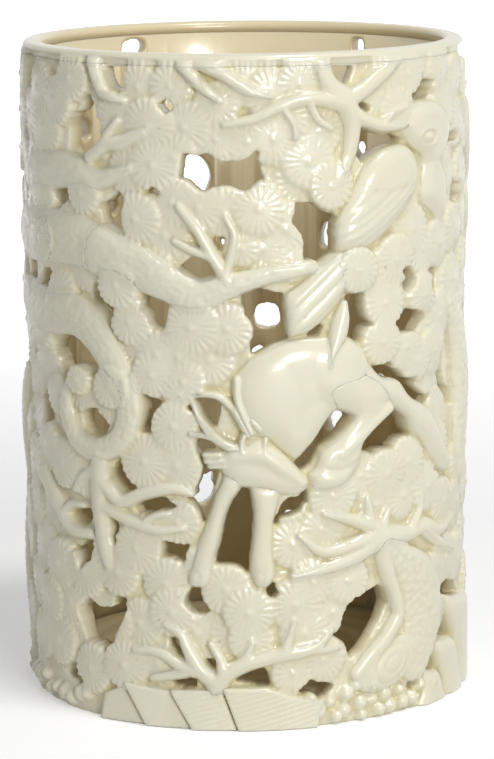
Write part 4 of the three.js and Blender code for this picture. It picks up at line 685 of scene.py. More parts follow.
limb_piece("foot_branches", 1.5, [
    [(-6, 8, 2.2, 2.7), (-4, 10.6, 1.8, 2.9), (0, 12.6, 1.6, 2.9), (5, 14, 1.6, 2.8),
     (9.6, 14.6, 1.5, 2.7), (13, 15.6, 1.2, 2.5), (15.8, 18.2, 0.9, 2.1)],
    [(-6, 8.8, 1.8, 2.8), (-9, 11.4, 1.7, 2.8), (-11.2, 15, 1.4, 2.7), (-12.6, 18, 1.1, 2.4),
     (-15.4, 19.4, 0.8, 2)],
    [(-10, 10.9, 1.4, 2.7), (-13.6, 12.5, 1.3, 2.6), (-17, 14.3, 1.1, 2.4), (-22, 14.2, 0.8, 2)],
    [(-11.6, 10.6, 1.2, 2.4), (-15, 9.9, 1.1, 2.3), (-18.4, 9.2, 0.8, 2)],
    [(-4.8, 10.4, 1.3, 2.8), (-5, 13.2, 1.1, 2.6), (-6.8, 16.2, 0.8, 2.2)],
    [(-2.8, 11.6, 1.3, 2.7), (-0.6, 13.6, 1.1, 2.5), (0.9, 16.6, 0.8, 2.1)],
    [(6.6, 14.4, 1.2, 2.6), (7.8, 17.4, 1, 2.4), (8.6, 20.6, 0.8, 2)],
    [(10.6, 14.8, 1, 2.4), (14, 14.6, 0.9, 2.2), (17, 14.8, 0.75, 1.9)],
])


# The hatching's slope in degrees and its spacing in mm
HATCH_LEFT = (35, 0.95)
HATCH_RIGHT = (15, 0.95)

slab_piece("rock_slab_outer_left", 0.2, [(-30, -1), (-29, 5), (-24.6, 7.2), (-19, -1)],
           3, bevel=0.4, hatch=HATCH_LEFT, fall=1.5)

slab_piece("rock_slab_left", 0.2, [(-24.5, 8), (-14.9, 7.2), (-10, -1), (-19, -1)],
           3.1, bevel=0.4, hatch=HATCH_LEFT, fall=1.5)

slab_piece("rock_slab_middle", 0.2, [(-14.9, 7.4), (-4.9, 8), (-1.6, -1), (-10, -1)],
           3.2, bevel=0.4, hatch=HATCH_RIGHT, fall=1.2)

slab_piece("rock_slab_right", 0.2, [(-4.9, 8.2), (3.8, 8.2), (8.6, 6.4), (14.4, 5), (12.8, -1),
           (-1.6, -1)], 3, bevel=0.4, hatch=HATCH_RIGHT, fall=0.7)

form_piece("rock_step_low", 0.9, [(37.8, 7.6), (41, 6.4), (43.8, 5.8), (45.4, 2.6), (47.2, -1), (37, -1),
           (38, 3)], 2.6, 1.8)

form_piece("rock_step_middle", 0.9, [(41.4, 12), (46, 11.5), (50.6, 10.8), (53, 5.6), (55.6, -1),
           (47.6, -1), (45, 4.4), (42.6, 8.4)], 3, 2.2)

form_piece("rock_step_high", 0.9, [(46.6, 20), (52, 18.6), (58, 17.6), (62.8, 16.6), (63, -1), (56, -1),
           (53.2, 5.6), (50.6, 11.4), (48, 15.4)], 2.8, 2.4)

limb_piece("back_trunk", 1.3, [
    [(-109, 1, 6.6, 2.8), (-107, 7, 5.8, 3.2), (-104, 18, 4.9, 3.4), (-108, 32, 4.5, 3.4),
     (-115, 44, 4.1, 3.4), (-111, 58, 3.7, 3.2), (-102, 74, 3.2, 3), (-106, 88, 2.6, 2.8),
     (-110, 95, 1.8, 2.4)],
    [(-113.4, 43, 2.8, 3), (-121, 48, 2.2, 2.8), (-129, 51, 1.4, 2.4), (-132, 55, 0.8, 2)],
    [(-103, 73, 2.4, 2.8), (-94, 80, 2, 2.6), (-86, 84, 1.2, 2.2)],
    [(-111, 57, 1.8, 2.8), (-119, 62, 1.4, 2.6), (-124, 67, 0.9, 2.2)],
], **BARK)

limb_piece("back_high_branch", 1.3, [
    [(-116, 112, 0.9, 2), (-118, 109, 1.2, 2.2), (-124, 103, 1.7, 2.6), (-131, 102.4, 2.2, 2.8),
     (-140, 106, 2.6, 3), (-149, 104, 2.8, 3), (-157, 97, 3, 3)],
    [(-140, 106, 2, 2.8), (-144, 112, 1.4, 2.4), (-151, 115, 0.9, 2)],
    [(-128, 102.6, 1.3, 2.6), (-131.6, 97, 1, 2.4), (-136, 94, 0.6, 2)],
], bark=0.2)

limb_piece("far_side_trunk", 1.3, [
    [(91, 2, 6, 2.8), (92, 8, 5.4, 3.2), (96, 20, 4.7, 3.4), (93, 34, 4.3, 3.4), (86, 46, 3.9, 3.4),
     (88, 56, 3.4, 3.2), (97, 68.6, 2.8, 3), (105, 76, 1.8, 2.4)],
    [(87, 46, 2.6, 3), (79, 52, 2.2, 2.8), (73, 51, 1.3, 2.2)],
    [(92, 37, 2.4, 3), (101, 43, 2, 2.6), (105, 51, 1.1, 2.2)],
    [(88.4, 57, 1.8, 2.8), (84, 63, 1.4, 2.6), (84.4, 69, 0.8, 2.2)],
], **BARK)

limb_piece("left_side_trunk", 1.3, [
    [(-75, 2, 5.6, 2.6), (-74, 10, 4.8, 3), (-70, 24, 4.3, 3.2), (-74, 38, 3.7, 3.2), (-68, 50, 3.3, 3),
     (-61.4, 58, 2.4, 2.6), (-57, 63, 1.4, 2.2)],
    [(-73, 39, 2.4, 2.8), (-82, 46, 2, 2.6), (-88, 45, 1.3, 2.2)],
    [(-71, 26, 1.8, 2.8), (-78, 29, 1.3, 2.4), (-81, 34, 0.8, 2)],
], **BARK)

limb_piece("right_side_branch", 1.3, [
    [(62, 112, 1.8, 2.4), (64, 106, 2.6, 2.8), (70, 98, 2.8, 3), (78, 94, 2.6, 3), (86, 98, 2, 2.6),
     (91, 106, 1.3, 2.2)],
    [(78, 94, 2, 2.8), (81, 86, 1.6, 2.6), (88, 82, 1, 2.2)],
    [(70, 98, 1.5, 2.6), (65, 92, 1.1, 2.4), (65, 87, 0.7, 2)],
], bark=0.2)

slab_piece("back_rock_low", 1.3, [(-133.4, -1), (-133.4, 6.8), (-127, 10), (-121.2, 7.8), (-121.2, -1)],
           2.5, hatch=HATCH_LEFT)

slab_piece("back_rock_high", 1.3, [(-121.2, -1), (-121.2, 7.6), (-116.4, 11), (-110.6, 9.8),
           (-110.6, -1)], 2.8, hatch=HATCH_RIGHT)

slab_piece("far_side_rock_low", 1.3, [(72.6, -1), (72.6, 6.4), (79, 8.8), (84.8, 7), (84.8, -1)], 2.4)

slab_piece("far_side_rock_high", 1.3, [(100.2, -1), (100.2, 8.4), (106, 11.4), (112.4, 8.4), (112.4, -1)],
           2.8)


# Pebbles at the foot of the front, as s, z and radius, and runs of them elsewhere, as s, s and seed
PEBBLES = [
   (13.6, 2.8, 1.5), (15.6, 4.6, 1.3), (18.7, 2.6, 1.7), (19.2, 5.6, 1.6), (22.1, 3.6, 1.6),
    (24.7, 3.9, 1.4), (27.8, 4.4, 1.6), (29.2, 2, 1.6), (26.6, 1.6, 1.4), (32.5, 2.1, 1.6),
    (35.4, 2.2, 1.5), (37.4, 4.4, 1.4), (17, 1.4, 1.3), (22.4, 1.2, 1.3), (41, 3.9, 1.4), (21, 7, 1.3),
    (24.6, 6.4, 1.2), (12, 5.6, 1.2), (31.4, 4.6, 1.2),
]
PEBBLE_RUNS = [(62, 72, 1), (86, 99, 2), (113, 132, 3), (-108, -84, 4), (-80, -60, 5), (-58, -30, 6)]
PEBBLE_SPACING = 2.6


def add_pebbles(field):
    for s0, z0, radius in PEBBLES:
        stamp_dome(field, (s0, z0, 2 * radius, 2 * radius, 0), 1.9, 0.1)
    for start, end, seed in PEBBLE_RUNS:
        for k in range(int((end - start) / PEBBLE_SPACING)):
            radius = 1.2 + 0.7 * float(noise01(k, seed, 3))
            s0 = start + PEBBLE_SPACING * k + float(noise01(k, seed, 4))
            z0 = 1.8 + PEBBLE_SPACING * float(noise01(k, seed, 5))
            stamp_dome(field, (s0, z0, 2 * radius, 2 * radius, 0), 1.8, 0.1)


# The openings of the front, which reaches that far to each side, as outlines of s and z

FRONT = 43.0
OPENINGS = [
    [(-27.6, 122.4), (-22.9, 121.9), (-22.9, 120.4), (-22.4, 118.2), (-24.4, 118.4), (-26, 119),
     (-27, 120.2)],
    [(-34.4, 113.2), (-33, 115), (-32.4, 117), (-31, 115.3), (-30.4, 113.8), (-28.7, 111.9), (-29.4, 110),
     (-29.2, 108.9), (-30.4, 107.6), (-32.6, 107), (-35, 106), (-36.4, 105.3), (-37.4, 107), (-37.4, 110),
     (-36.6, 113), (-35, 113.4)],
    [(-11.6, 107.3), (-10.5, 107.5), (-8.4, 107), (-7, 107.6), (-5.9, 107.2), (-5, 106.4), (-3.4, 105.9),
     (-1.6, 105.9), (0.4, 106.5), (1.6, 107.4), (2.5, 108.4), (3.1, 107.7), (2.7, 106), (2.8, 104),
     (3.4, 102.3), (2.2, 101.4), (1, 100.5), (0.2, 100), (-0.8, 100.4), (-2.4, 101), (-4, 101.1),
     (-5.8, 100.8), (-7, 100.1), (-8.4, 100.1), (-9.6, 101), (-10.8, 102), (-12.5, 102.3), (-12, 104.6)],
    [(-20, 116.3), (-16.6, 116.2), (-14.3, 117.3), (-12.3, 115.6), (-14.4, 113.8), (-16.4, 115.7),
     (-20, 115.9)],
    [(-19, 100), (-18, 101), (-17.4, 101.5), (-16.2, 100.8), (-15.4, 99.9), (-16.4, 99), (-17.6, 99.6)],
    [(-29, 97), (-27.4, 97.5), (-25.4, 98.8), (-24.4, 99.4), (-22.9, 99), (-22.8, 98), (-23.5, 96),
     (-23.6, 94), (-23, 92.2), (-22.2, 90.9), (-24.9, 90.8), (-26.2, 92), (-27.8, 93.6), (-28.6, 95.2)],
    [(-42.4, 101), (-40, 101), (-38, 100.4), (-37.8, 98.6), (-38.6, 97.4), (-40.4, 96.4), (-42.6, 97.2)],
    [(-20.2, 90.2), (-18.8, 90), (-17.8, 88.6), (-16.6, 87.6), (-17.6, 87.8), (-19, 89.2)],
    [(9.2, 98), (11, 97.6), (13, 97.8), (14.6, 96), (17.6, 95.1), (16.9, 92.4), (16.8, 89), (17, 87.4),
     (14.6, 85.8), (11.5, 84.3), (11.2, 86), (10.6, 88.7), (10.9, 90.6), (10.3, 92.4), (9.4, 93.4),
     (8.3, 94.9), (9.2, 96.6)],
    [(-5.3, 91.8), (-3.5, 91.8), (-3.5, 90.6), (-4.4, 89.8), (-5.3, 90.6)],
    [(-13.6, 85.6), (-12, 85), (-9.4, 84), (-7.6, 83.6), (-5.8, 84.2), (-5, 85.4), (-5.3, 86.8),
     (-6.4, 87.6), (-8, 88), (-10, 87.8), (-11.6, 86.6)],
    [(15.2, 122.5), (21.4, 122.5), (20.8, 121), (19.9, 119), (18.6, 118.2), (17.6, 118.6), (16.4, 120),
     (15.6, 121.6)],
    [(21.3, 115.6), (22.2, 116.6), (23.4, 115.8), (24.8, 115.2), (24.6, 114.1), (24.2, 113.2),
     (23.2, 113.6), (22, 114.6)],
    [(22.2, 111.4), (24, 110.3), (26, 109.5), (28.4, 109), (31, 109), (32.6, 108.2), (30, 107.8),
     (27.6, 107.2), (25.6, 106.3), (24.2, 105.7), (23.3, 105), (22.4, 106.2), (21.6, 107.4), (21.5, 109)],
    [(34.1, 115), (34.6, 116), (36, 116.8), (37, 118), (38, 119.2), (40, 119), (42.6, 118.8), (41.6, 117),
     (40.8, 115.6), (38, 115.3), (36, 115.3)],
    [(39.3, 84.8), (40.4, 86.4), (41.8, 86.7), (40.8, 85.8), (39.9, 84.4)],
    [(-0.4, 82.2), (2.5, 82.4), (5, 81.6), (7.4, 81.2), (7.2, 78), (7.3, 75), (7.8, 73.2), (5.4, 72.6),
     (3.4, 71.6), (1.4, 70.6), (1.2, 72), (1.5, 73.6), (1.4, 75.4), (0.7, 76.8), (-0.3, 77.9),
     (-0.2, 80)],
    [(11.8, 73.5), (13.8, 73.7), (14.7, 75.3), (13.4, 74.8)],
    [(19.2, 78.9), (20.2, 80.4), (21.3, 81), (23.9, 81.4), (23.2, 79.6), (23.2, 77.6), (24.2, 75.9),
     (26.5, 74.6), (24, 74.3), (23, 73.4), (22.2, 71.9), (21.2, 72.6), (20.1, 73.1), (20.1, 75),
     (20, 76.9)],
    [(13, 53.9), (15, 57), (16.6, 59.2), (18, 59.5), (20, 59), (22.3, 58.1), (20.6, 57), (18.5, 55.6),
     (16, 54.2), (13.8, 53), (13, 51.4), (12, 49.8), (10.5, 49), (9.4, 50), (10, 51.2), (11.6, 52.8)],
    [(22.4, 51.9), (23, 53.2), (24.6, 55), (26.8, 56.6), (28.4, 57.6), (29.3, 58.8), (31, 57.7),
     (33, 56.4), (34.4, 54.8), (36.4, 53.2), (34.4, 52.8), (32, 52.3), (30.4, 51.2), (28.4, 51.3),
     (27, 51.2), (26, 50.7), (25, 51.2), (23.8, 51.7)],
    [(25, 66.4), (27.5, 66.6), (28.8, 67), (30.2, 67.4), (30.4, 66), (31.4, 64.9), (33, 64.1), (35, 63.9),
     (37.4, 63.8), (36.6, 61.9), (38.4, 60.4), (40, 59.4), (42, 59.2), (40.4, 58), (38.2, 59), (36.2, 60),
     (34.4, 61.3), (33, 62.9), (32, 64), (30, 64.6), (27.8, 64.8), (26.6, 65.5)],
    [(31, 73), (31.8, 74.6), (33.4, 75.9), (35.6, 76.6), (37.6, 76.4), (40.6, 74.9), (38.6, 74),
     (37.6, 73), (36.6, 71.9), (34.6, 72.2), (31.8, 72.3)],
    [(31.5, 84), (33, 85), (34.6, 84.8), (36, 83.5), (36.6, 82), (36, 80.6), (34.8, 79.5), (34.2, 80),
     (33.6, 81.4), (32.8, 83)],
    [(40.7, 80), (41, 82), (42.4, 83.2), (44.6, 83.6), (43.8, 81.4), (43.4, 79.6), (44.6, 77.6),
     (42.6, 78), (41.4, 79)],
    [(-11.6, 60.4), (-10.3, 61.8), (-9.4, 62.8), (-8.5, 62.9), (-6.6, 62.4), (-5, 62), (-5.1, 60),
     (-5.6, 58), (-6.1, 57.2), (-7.5, 57.6), (-9, 58.6), (-10.1, 59.6)],
    [(-9.7, 53), (-9.4, 54.4), (-8.8, 54.9), (-7.2, 54.9), (-6.3, 54), (-6.3, 52.9), (-7.8, 52.2),
     (-7.6, 51), (-6.9, 50.3), (-5.6, 50.2), (-5.5, 49.2), (-6.2, 46.6), (-6.9, 44), (-7.6, 41),
     (-8.4, 39.2), (-9.1, 40.6), (-9.7, 42.6), (-10.2, 43.4), (-11.4, 44), (-10, 45), (-8.9, 47.6),
     (-8.4, 49.6), (-9, 51.4)],
    [(-20.4, 63), (-18.8, 62.9), (-17.4, 62), (-16.6, 61.2), (-15.8, 60.8), (-16.8, 60), (-17.7, 58.4),
     (-18, 56.6), (-18, 55.2), (-20.5, 55.2), (-20.5, 58), (-20.3, 60.4)],
    [(-20.8, 78.6), (-19.6, 80.2), (-18.4, 81.6), (-17, 81.2), (-15.2, 80), (-14.3, 78), (-14.5, 75.8),
     (-15.6, 75), (-17.4, 74.9), (-18.3, 75.6), (-18.8, 77), (-19.8, 78.1)],
    [(-30.8, 83), (-29.5, 82.8), (-28.6, 81), (-27.8, 79.2), (-26.6, 78.8), (-25.4, 78.4), (-25.2, 77.2),
     (-26, 76), (-26.6, 74.6), (-27, 73.1), (-28.6, 75), (-30, 77.4), (-31.2, 79.4), (-31.5, 81.4)],
    [(-45, 68.6), (-42, 70.4), (-39.4, 71.4), (-37, 71.6), (-35, 70.4), (-32.6, 68.4), (-31, 66.9),
     (-30.3, 66), (-30.6, 64.6), (-31.4, 64.9), (-32.6, 65.8), (-34.4, 66.5), (-36.1, 66.4),
     (-37.6, 65.2), (-38.6, 63.6), (-40, 64.6), (-42, 66.6)],
    [(-24.8, 69.4), (-23.4, 69.2), (-22.4, 66.2), (-23.3, 66), (-24, 67.6)],
    [(-34.3, 58.4), (-32.6, 59), (-30.6, 59.2), (-29.9, 58), (-28.7, 57.6), (-28.2, 56.2), (-29.2, 54.4),
     (-30.4, 53.4), (-31.4, 53.1), (-33, 53.6), (-34.2, 54.8), (-34.6, 56.6)],
    [(-24.6, 50), (-24.2, 48.2), (-23.2, 46.6), (-21.4, 44.9), (-22.4, 44.4), (-23.4, 43.3),
     (-25.2, 43.1), (-26.8, 43.8), (-27.9, 45), (-27.6, 46.6), (-26.4, 48.6), (-25.2, 49.6)],
    [(-21.6, 41.2), (-21.2, 42.4), (-20.2, 43), (-17, 43), (-14, 42.8), (-12, 42), (-14.6, 41.2),
     (-17, 40.9), (-18.6, 40.1), (-20, 40), (-21, 40.4)],
    [(-26.8, 38.4), (-26.3, 37.4), (-26.2, 35.2), (-25.7, 34.4), (-25.8, 33.2), (-27, 33.6),
     (-27.6, 34.8), (-27.2, 36.6)],
    [(-39.6, 37.6), (-38, 38), (-36, 38.6), (-34, 39), (-33.2, 38.2), (-33.8, 37), (-35, 36.2),
     (-37, 36.4), (-38.6, 37)],
    [(-38, 31.2), (-36, 32), (-33.4, 33.4), (-31.4, 33.8), (-31.8, 31.8), (-32.2, 29.6), (-33.4, 29.2),
     (-34.2, 28.4), (-35.6, 27), (-36.4, 29), (-37.2, 30.4)],
    [(-34.8, 22.2), (-33.4, 21.2), (-31.6, 20.6), (-29.6, 20.7), (-28, 21.4), (-26.8, 22.6),
     (-25.8, 23.9), (-24.9, 23.2), (-23.6, 22), (-24.2, 19.8), (-25.4, 17.8), (-26.4, 16.2),
     (-26.9, 14.4), (-28.4, 14), (-29.4, 13.2), (-31, 14), (-32.6, 14.4), (-34.4, 14.6), (-35.4, 16.4),
     (-36.8, 18.6), (-36.8, 20.2), (-35.6, 21.4)],
    [(-14.6, 14.8), (-14.8, 16.6), (-13.8, 17), (-12.6, 16), (-12, 14.6), (-11.9, 13), (-13, 13.1),
     (-14, 13.9)],
    [(-8.1, 12.9), (-6.2, 13), (-5.7, 11.2), (-6, 10), (-7, 10.2), (-7.7, 11.2)],
    [(-14.5, 8.2), (-13.9, 9.4), (-12.6, 10.1), (-11, 9.9), (-10.3, 9), (-10.3, 8), (-12.4, 7.9)],
    [(-41, 6.4), (-39.6, 8), (-38.2, 8.3), (-37, 7), (-35.2, 6.4), (-34.9, 5.6), (-36.2, 5.1), (-38, 5.8),
     (-40, 6)],
    [(-28.8, 5.5), (-24.6, 5.1), (-27, 3.3), (-28, 4.4)],
    [(-0.6, 45.8), (0.3, 45), (0.5, 42.6), (1.1, 40), (1.1, 36.6), (0.7, 33.6), (0.4, 31), (-0.1, 29.6),
     (-1.4, 30.6), (-2.6, 31), (-4.4, 31.1), (-6.3, 30.9), (-6, 33), (-5.2, 36), (-4.4, 39), (-3.4, 41.6),
     (-2.4, 43.4), (-1.4, 45.4)],
    [(5, 38.8), (5.6, 41), (6.4, 43), (8, 44.2), (10, 44.3), (11.4, 45), (11.8, 43.4), (11, 42),
     (10.2, 40.8), (8.4, 40.2), (6.4, 39.8)],
    [(-16.5, 35), (-11.4, 35), (-11.2, 33), (-11.7, 31), (-13, 31.8), (-15, 32.3), (-17.4, 31.8),
     (-16.4, 33.4)],
    [(-10.9, 26.9), (-9.2, 27.4), (-8.6, 26.8), (-8.5, 25), (-7.8, 23.4), (-7.6, 22.4), (-9.2, 22),
     (-10, 21.6), (-11, 22.4), (-12.3, 23.9), (-11.8, 25.4)],
    [(3.2, 25.7), (5, 27.5), (6.4, 25.8), (4.8, 24.5)],
    [(-2.5, 9.6), (-0.8, 10.2), (0.6, 11), (3, 11.3), (3.4, 10.4), (4, 8.3), (2.4, 8.5), (0.4, 9.1),
     (-1.4, 9.4)],
    [(8.6, 7), (10.4, 8), (12, 9.4), (13.4, 8.4), (16.4, 7.3), (14.8, 6), (13.8, 5.7), (12.4, 6.2),
     (10.6, 6.6)],
    [(16.7, 17), (17.8, 18.2), (18.5, 21), (19.6, 22.4), (20.6, 24.2), (22, 24.1), (24, 24), (27, 24.9),
     (28.2, 23.6), (28.3, 21.6), (26.9, 18.8), (24.8, 16.2), (22.6, 13.8), (20.3, 12.6), (19.9, 14.4),
     (19.4, 15.6), (18.2, 16.4)],
    [(31.9, 30.6), (32.8, 31.4), (34.4, 31.4), (36, 30.6), (37.4, 30), (37, 28.4), (36.6, 26.8),
     (34.6, 27), (33.2, 27.8), (32.2, 29)],
    [(38.1, 7.8), (39.4, 9), (40.6, 10.4), (41.8, 10.2), (43, 8.4), (43.4, 6.6), (42, 6.2), (40.6, 6.7),
     (39.2, 7.2)],
    [(34.9, 4.4), (36.2, 5.6), (37.2, 6.8), (37.6, 5.2), (36.6, 4.1)],
    [(44.6, 66.8), (46, 68), (47, 68.6), (46.6, 66), (47, 63.4), (48, 60.6), (50.4, 58.2), (53.4, 56.6),
     (51, 56.4), (49.4, 57), (48, 58.6), (46.8, 60.2), (45.6, 61.2), (45.8, 63.6), (45.2, 65.4)],
    [(41.7, 44.8), (42.4, 46), (44, 47), (46, 47.6), (46.6, 46), (48.6, 44.6), (47, 44.2), (44, 44.4)],
    [(46.5, 20.3), (48, 21.4), (50, 21.8), (53, 21.6), (55, 20.6), (58, 17.8), (56, 17.6), (52, 18.8),
     (48.6, 19.6)],
    [(42, 14.6), (43.4, 15.4), (45, 16.6), (46.8, 16), (48.6, 14), (51.6, 11.6), (50, 11), (46, 11.7),
     (42.4, 12.6)],
]


# The other openings, read off the CAD wall by rays towards the axis

def read_openings(spacing=0.6):
    """1 where the wall is pierced, on the drawing's grid, with stepped edges."""
    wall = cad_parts["pierced_wall"]
    tree = BVHTree.FromPolygons([v.co for v in wall.data.vertices],
                                [p.vertices for p in wall.data.polygons])
    columns, rows = int(SHEET_WIDTH / spacing), int(WALL_TOP / spacing)
    open_here = np.zeros((rows + 1, columns))
    reach = 8 * MM
    start_radius = (BORE_RADIUS + 0.6 * WALL_THICKNESS) * MM + reach
    heights = [min(max(j * spacing, 0.1), WALL_TOP - 0.1) * MM for j in range(rows + 1)]
    for i in range(columns):
        angle = 2 * math.pi * i / columns - math.pi
        out = Vector((math.sin(angle), -math.cos(angle), 0))
        for j, height in enumerate(heights):
            start = out * start_radius + Vector((0, 0, height))
            open_here[j, i] = tree.ray_cast(start, -out, reach)[0] is None
    j = np.clip(np.round(Z_LINE / spacing).astype(int), 0, rows)
    i = np.round((S_LINE / SHEET_WIDTH + 0.5) * columns).astype(int) % columns
    return open_here[np.ix_(j, i)]


def edge_distance(share, width):
    """Distance into the part above one half of a blurred mask, mm."""
    share = np.clip(share, 0.002, 0.998)
    return width * np.log(share / (1 - share)) / 1.702


def draw_openings():
    """Distance into the openings: those of the front as drawn here, the others as in the CAD wall."""
    opened = read_openings()
    opened[:, np.abs(S_LINE) < FRONT] = 0
    inside = edge_distance(blur(opened, 0.7), 0.7)
    for outline in OPENINGS:
        p = np.array(outline)
        index, s, z = window_round(p, 2)
        inside[index] = np.maximum(inside[index], outline_distance(outline, s, z))
    return inside


# Closed meshes over the drawing

# For each set of a cell's corners that are inside, counted 1, 2, 4 and 8, the outline of its part that is
# inside: digits for corners, letters for where the edge crosses the cell's sides
CASES = {
    1: "0ad", 2: "1ba", 3: "01bd", 4: "2cb", 5: "0ab2cd", 6: "12ca", 7: "012cd", 8: "3dc", 9: "0ac3",
    10: "1bc3da", 11: "01bc3", 12: "23db", 13: "0ab23", 14: "123da", 15: "0123",
}


def mesh_from(name, vertices, skins, sides=()):
    """An object from vertices and arrays of polygons: the skins smooth, the sides flat."""
    groups = [*skins, *sides]
    sizes = np.concatenate([np.full(len(group), group.shape[1]) for group in groups])
    loops = np.concatenate([group.ravel() for group in groups])
    mesh = bpy.data.meshes.new(name)
    mesh.vertices.add(len(vertices))
    mesh.vertices.foreach_set("co", np.asarray(vertices, np.float32).ravel())
    mesh.loops.add(len(loops))
    mesh.loops.foreach_set("vertex_index", loops.astype(np.int32))
    mesh.polygons.add(len(sizes))
    mesh.polygons.foreach_set("loop_start", np.concatenate([[0], np.cumsum(sizes)[:-1]]).astype(np.int32))
    smooth = np.ones(len(sizes), bool)
    smooth[sum(len(group) for group in skins):] = False
    mesh.polygons.foreach_set("use_smooth", smooth)
    mesh.update(calc_edges=True)
    mesh.validate()
    thing = bpy.data.objects.new(name, mesh)
    bpy.context.scene.collection.objects.link(thing)
    return thing


def shell(name, inside, outer, inner, s_line, z_line, ring=False):
    """A closed mesh between two radii where the field inside is above 0, cut along its edge."""
    rows, count = inside.shape
    spans = count if ring else count - 1
    after = (np.arange(spans) + 1) % count
    j, i = (a.ravel() for a in np.meshgrid(np.arange(rows - 1), np.arange(spans), indexing="ij"))
    total = rows * count
    corners = [j * count + i, j * count + after[i], (j + 1) * count + after[i], (j + 1) * count + i]
    edges = [total + corners[0], 2 * total + corners[1], total + corners[3], 2 * total + corners[0]]
    token = {**dict(zip("0123", corners)), **dict(zip("abcd", edges))}
    flat = inside.ravel()
    case = sum((flat[corner] > 0).astype(int) << k for k, corner in enumerate(corners))

    polygons, rims = [], []
    for number, letters in CASES.items():
        chosen = case == number
        polygons.append(np.stack([token[letter][chosen] for letter in letters], 1))
        for a, b in zip(letters, letters[1:] + letters[0]):
            if a in "abcd" and b in "abcd":
                rims.append(np.stack([token[a][chosen], token[b][chosen]], 1))
    cuts = sum(len(rim) for rim in rims)
    if ring:
        here = np.arange(count)
        last = (rows - 1) * count
        rims.append(np.stack([here, np.roll(here, -1)], 1))
        rims.append(np.stack([np.roll(here, -1), here], 1) + last)

    s_all, z_all = np.meshgrid(s_line, z_line)
    base = np.stack([s_all.ravel(), z_all.ravel(), outer.ravel(), inner.ravel()], 1)

    def cut_points(far, crossing=None):
        there = base[far].copy()
        if crossing is not None:
            there[crossing, 0] += SHEET_WIDTH
        span = flat - flat[far]
        share = np.clip(flat / np.where(np.abs(span) < 1e-9, 1, span), 0.03, 0.97)[:, None]
        return base * (1 - share) + there * share

    grid = np.arange(total)
    to_right = grid - grid % count + (grid + 1) % count
    level = cut_points(to_right, grid % count == count - 1)
    upright = cut_points(np.minimum(grid + count, total - 1))
    points = np.vstack([base, level, upright])

    used = np.unique(np.concatenate([polygon.ravel() for polygon in polygons]))
    renumber = np.full(3 * total, -1)
    renumber[used] = np.arange(len(used))
    points = points[used]
    angle = 2 * math.pi * points[:, 0] / SHEET_WIDTH
    skins = [np.stack([radius * np.sin(angle), -radius * np.cos(angle), points[:, 1]], 1)
             for radius in (points[:, 2], points[:, 3])]
    n = len(used)
    faces = [renumber[polygon] for polygon in polygons if len(polygon)]
    backs = [face[:, ::-1] + n for face in faces]
    rim = renumber[np.vstack(rims)]
    sides = np.stack([rim[:, 1], rim[:, 0], rim[:, 0] + n, rim[:, 1] + n], 1)
    if ring:
        made = mesh_from(name, np.vstack(skins) * MM, faces + backs + [sides[:cuts]], [sides[cuts:]])
    else:
        made = mesh_from(name, np.vstack(skins) * MM, faces, backs + [sides])
    group = made.vertex_groups.new(name="off_the_edges")
    group.add(np.setdiff1d(np.arange(2 * n), sides.ravel()).tolist(), 1.0, "REPLACE")
    return made


def thin_out(thing, most):
    """Collapses a mesh to about that many triangles, keeping its edges and what is curved."""
    triangles = sum(len(p.vertices) - 2 for p in thing.data.polygons)
    if triangles <= most:
        return
    modifier = thing.modifiers.new("thin_out", "DECIMATE")
    modifier.ratio = most / triangles
    modifier.vertex_group = "off_the_edges"
    graph = bpy.context.evaluated_depsgraph_get()
    thinner = bpy.data.meshes.new_from_object(thing.evaluated_get(graph))
    thing.modifiers.clear()
    thing.vertex_groups.clear()
    thing.data = thinner


def sample(field, s, z):
    """The field's values at places of the drawing, interpolated."""
    u = np.mod((s + SHEET_WIDTH / 2) / DS, COLUMNS)
    v = np.clip(z / DZ, 0, ROWS - 1e-6)
    i, j = np.floor(u).astype(int) % COLUMNS, np.floor(v).astype(int)
    a, b = u - np.floor(u), v - j
    k = (i + 1) % COLUMNS
    low = field[j, i] * (1 - a) + field[j, k] * a
    high = field[j + 1, i] * (1 - a) + field[j + 1, k] * a
    return low * (1 - b) + high * b


def mark_pool_and_shade(thing, hollow):
    """Stores how deep in a hollow of the relief each vertex lies, times how far out it stands: the share
    of yellower, darker glaze there, partly pooled glaze and partly painted shade.
    """
    co = np.empty(3 * len(thing.data.vertices), np.float32)
    thing.data.vertices.foreach_get("co", co)
    co = co.reshape(-1, 3).astype(float) / MM
    s = np.arctan2(co[:, 0], -co[:, 1]) * SHEET_WIDTH / (2 * math.pi)
    out = ease((np.hypot(co[:, 0], co[:, 1]) - WALL_RADIUS + 1) / 1)
    attribute = thing.data.attributes.new("pool_and_shade", "FLOAT", "POINT")
    attribute.data.foreach_set("value", (sample(hollow, s, co[:, 2]) * out).astype(np.float32))


def make_filler(spacing=6.6):
    """A lower layer of tufts all round, so that no bare wall shows between the chosen ones."""
    field = blank()
    columns = round(SHEET_WIDTH / spacing)
    step = SHEET_WIDTH / columns
    for row in range(int(WALL_TOP / spacing) + 2):
        for column in range(columns):
            s0 = (column + 0.5 * (row % 2)) * step - SHEET_WIDTH / 2
            s0 += 2.4 * float(noise01(row, column, 1) - 0.5)
            z0 = row * spacing * 0.9 + 2.4 * float(noise01(row, column, 2) - 0.5)
            radius = 4.2 + float(noise01(row, column, 3))
            index, s, z = window(s0 - radius, s0 + radius, z0 - radius, z0 + radius)
            layer = -0.75 + 0.25 * float(noise01(row, column, 4))
            disc = tuft_height(radius, s - s0, z - z0, 6.28 * float(noise01(row, column, 5)), layer)
            field[index] = np.maximum(field[index], disc)
    return field


def relief_left(z):
    """The share of the relief's height that is left at a height, as it runs out over the lip."""
    return ease((POT_HEIGHT - RELIEF_END - z) / RELIEF_RUN_OUT)


# The relief: every piece's height, then the whole surface under one glaze

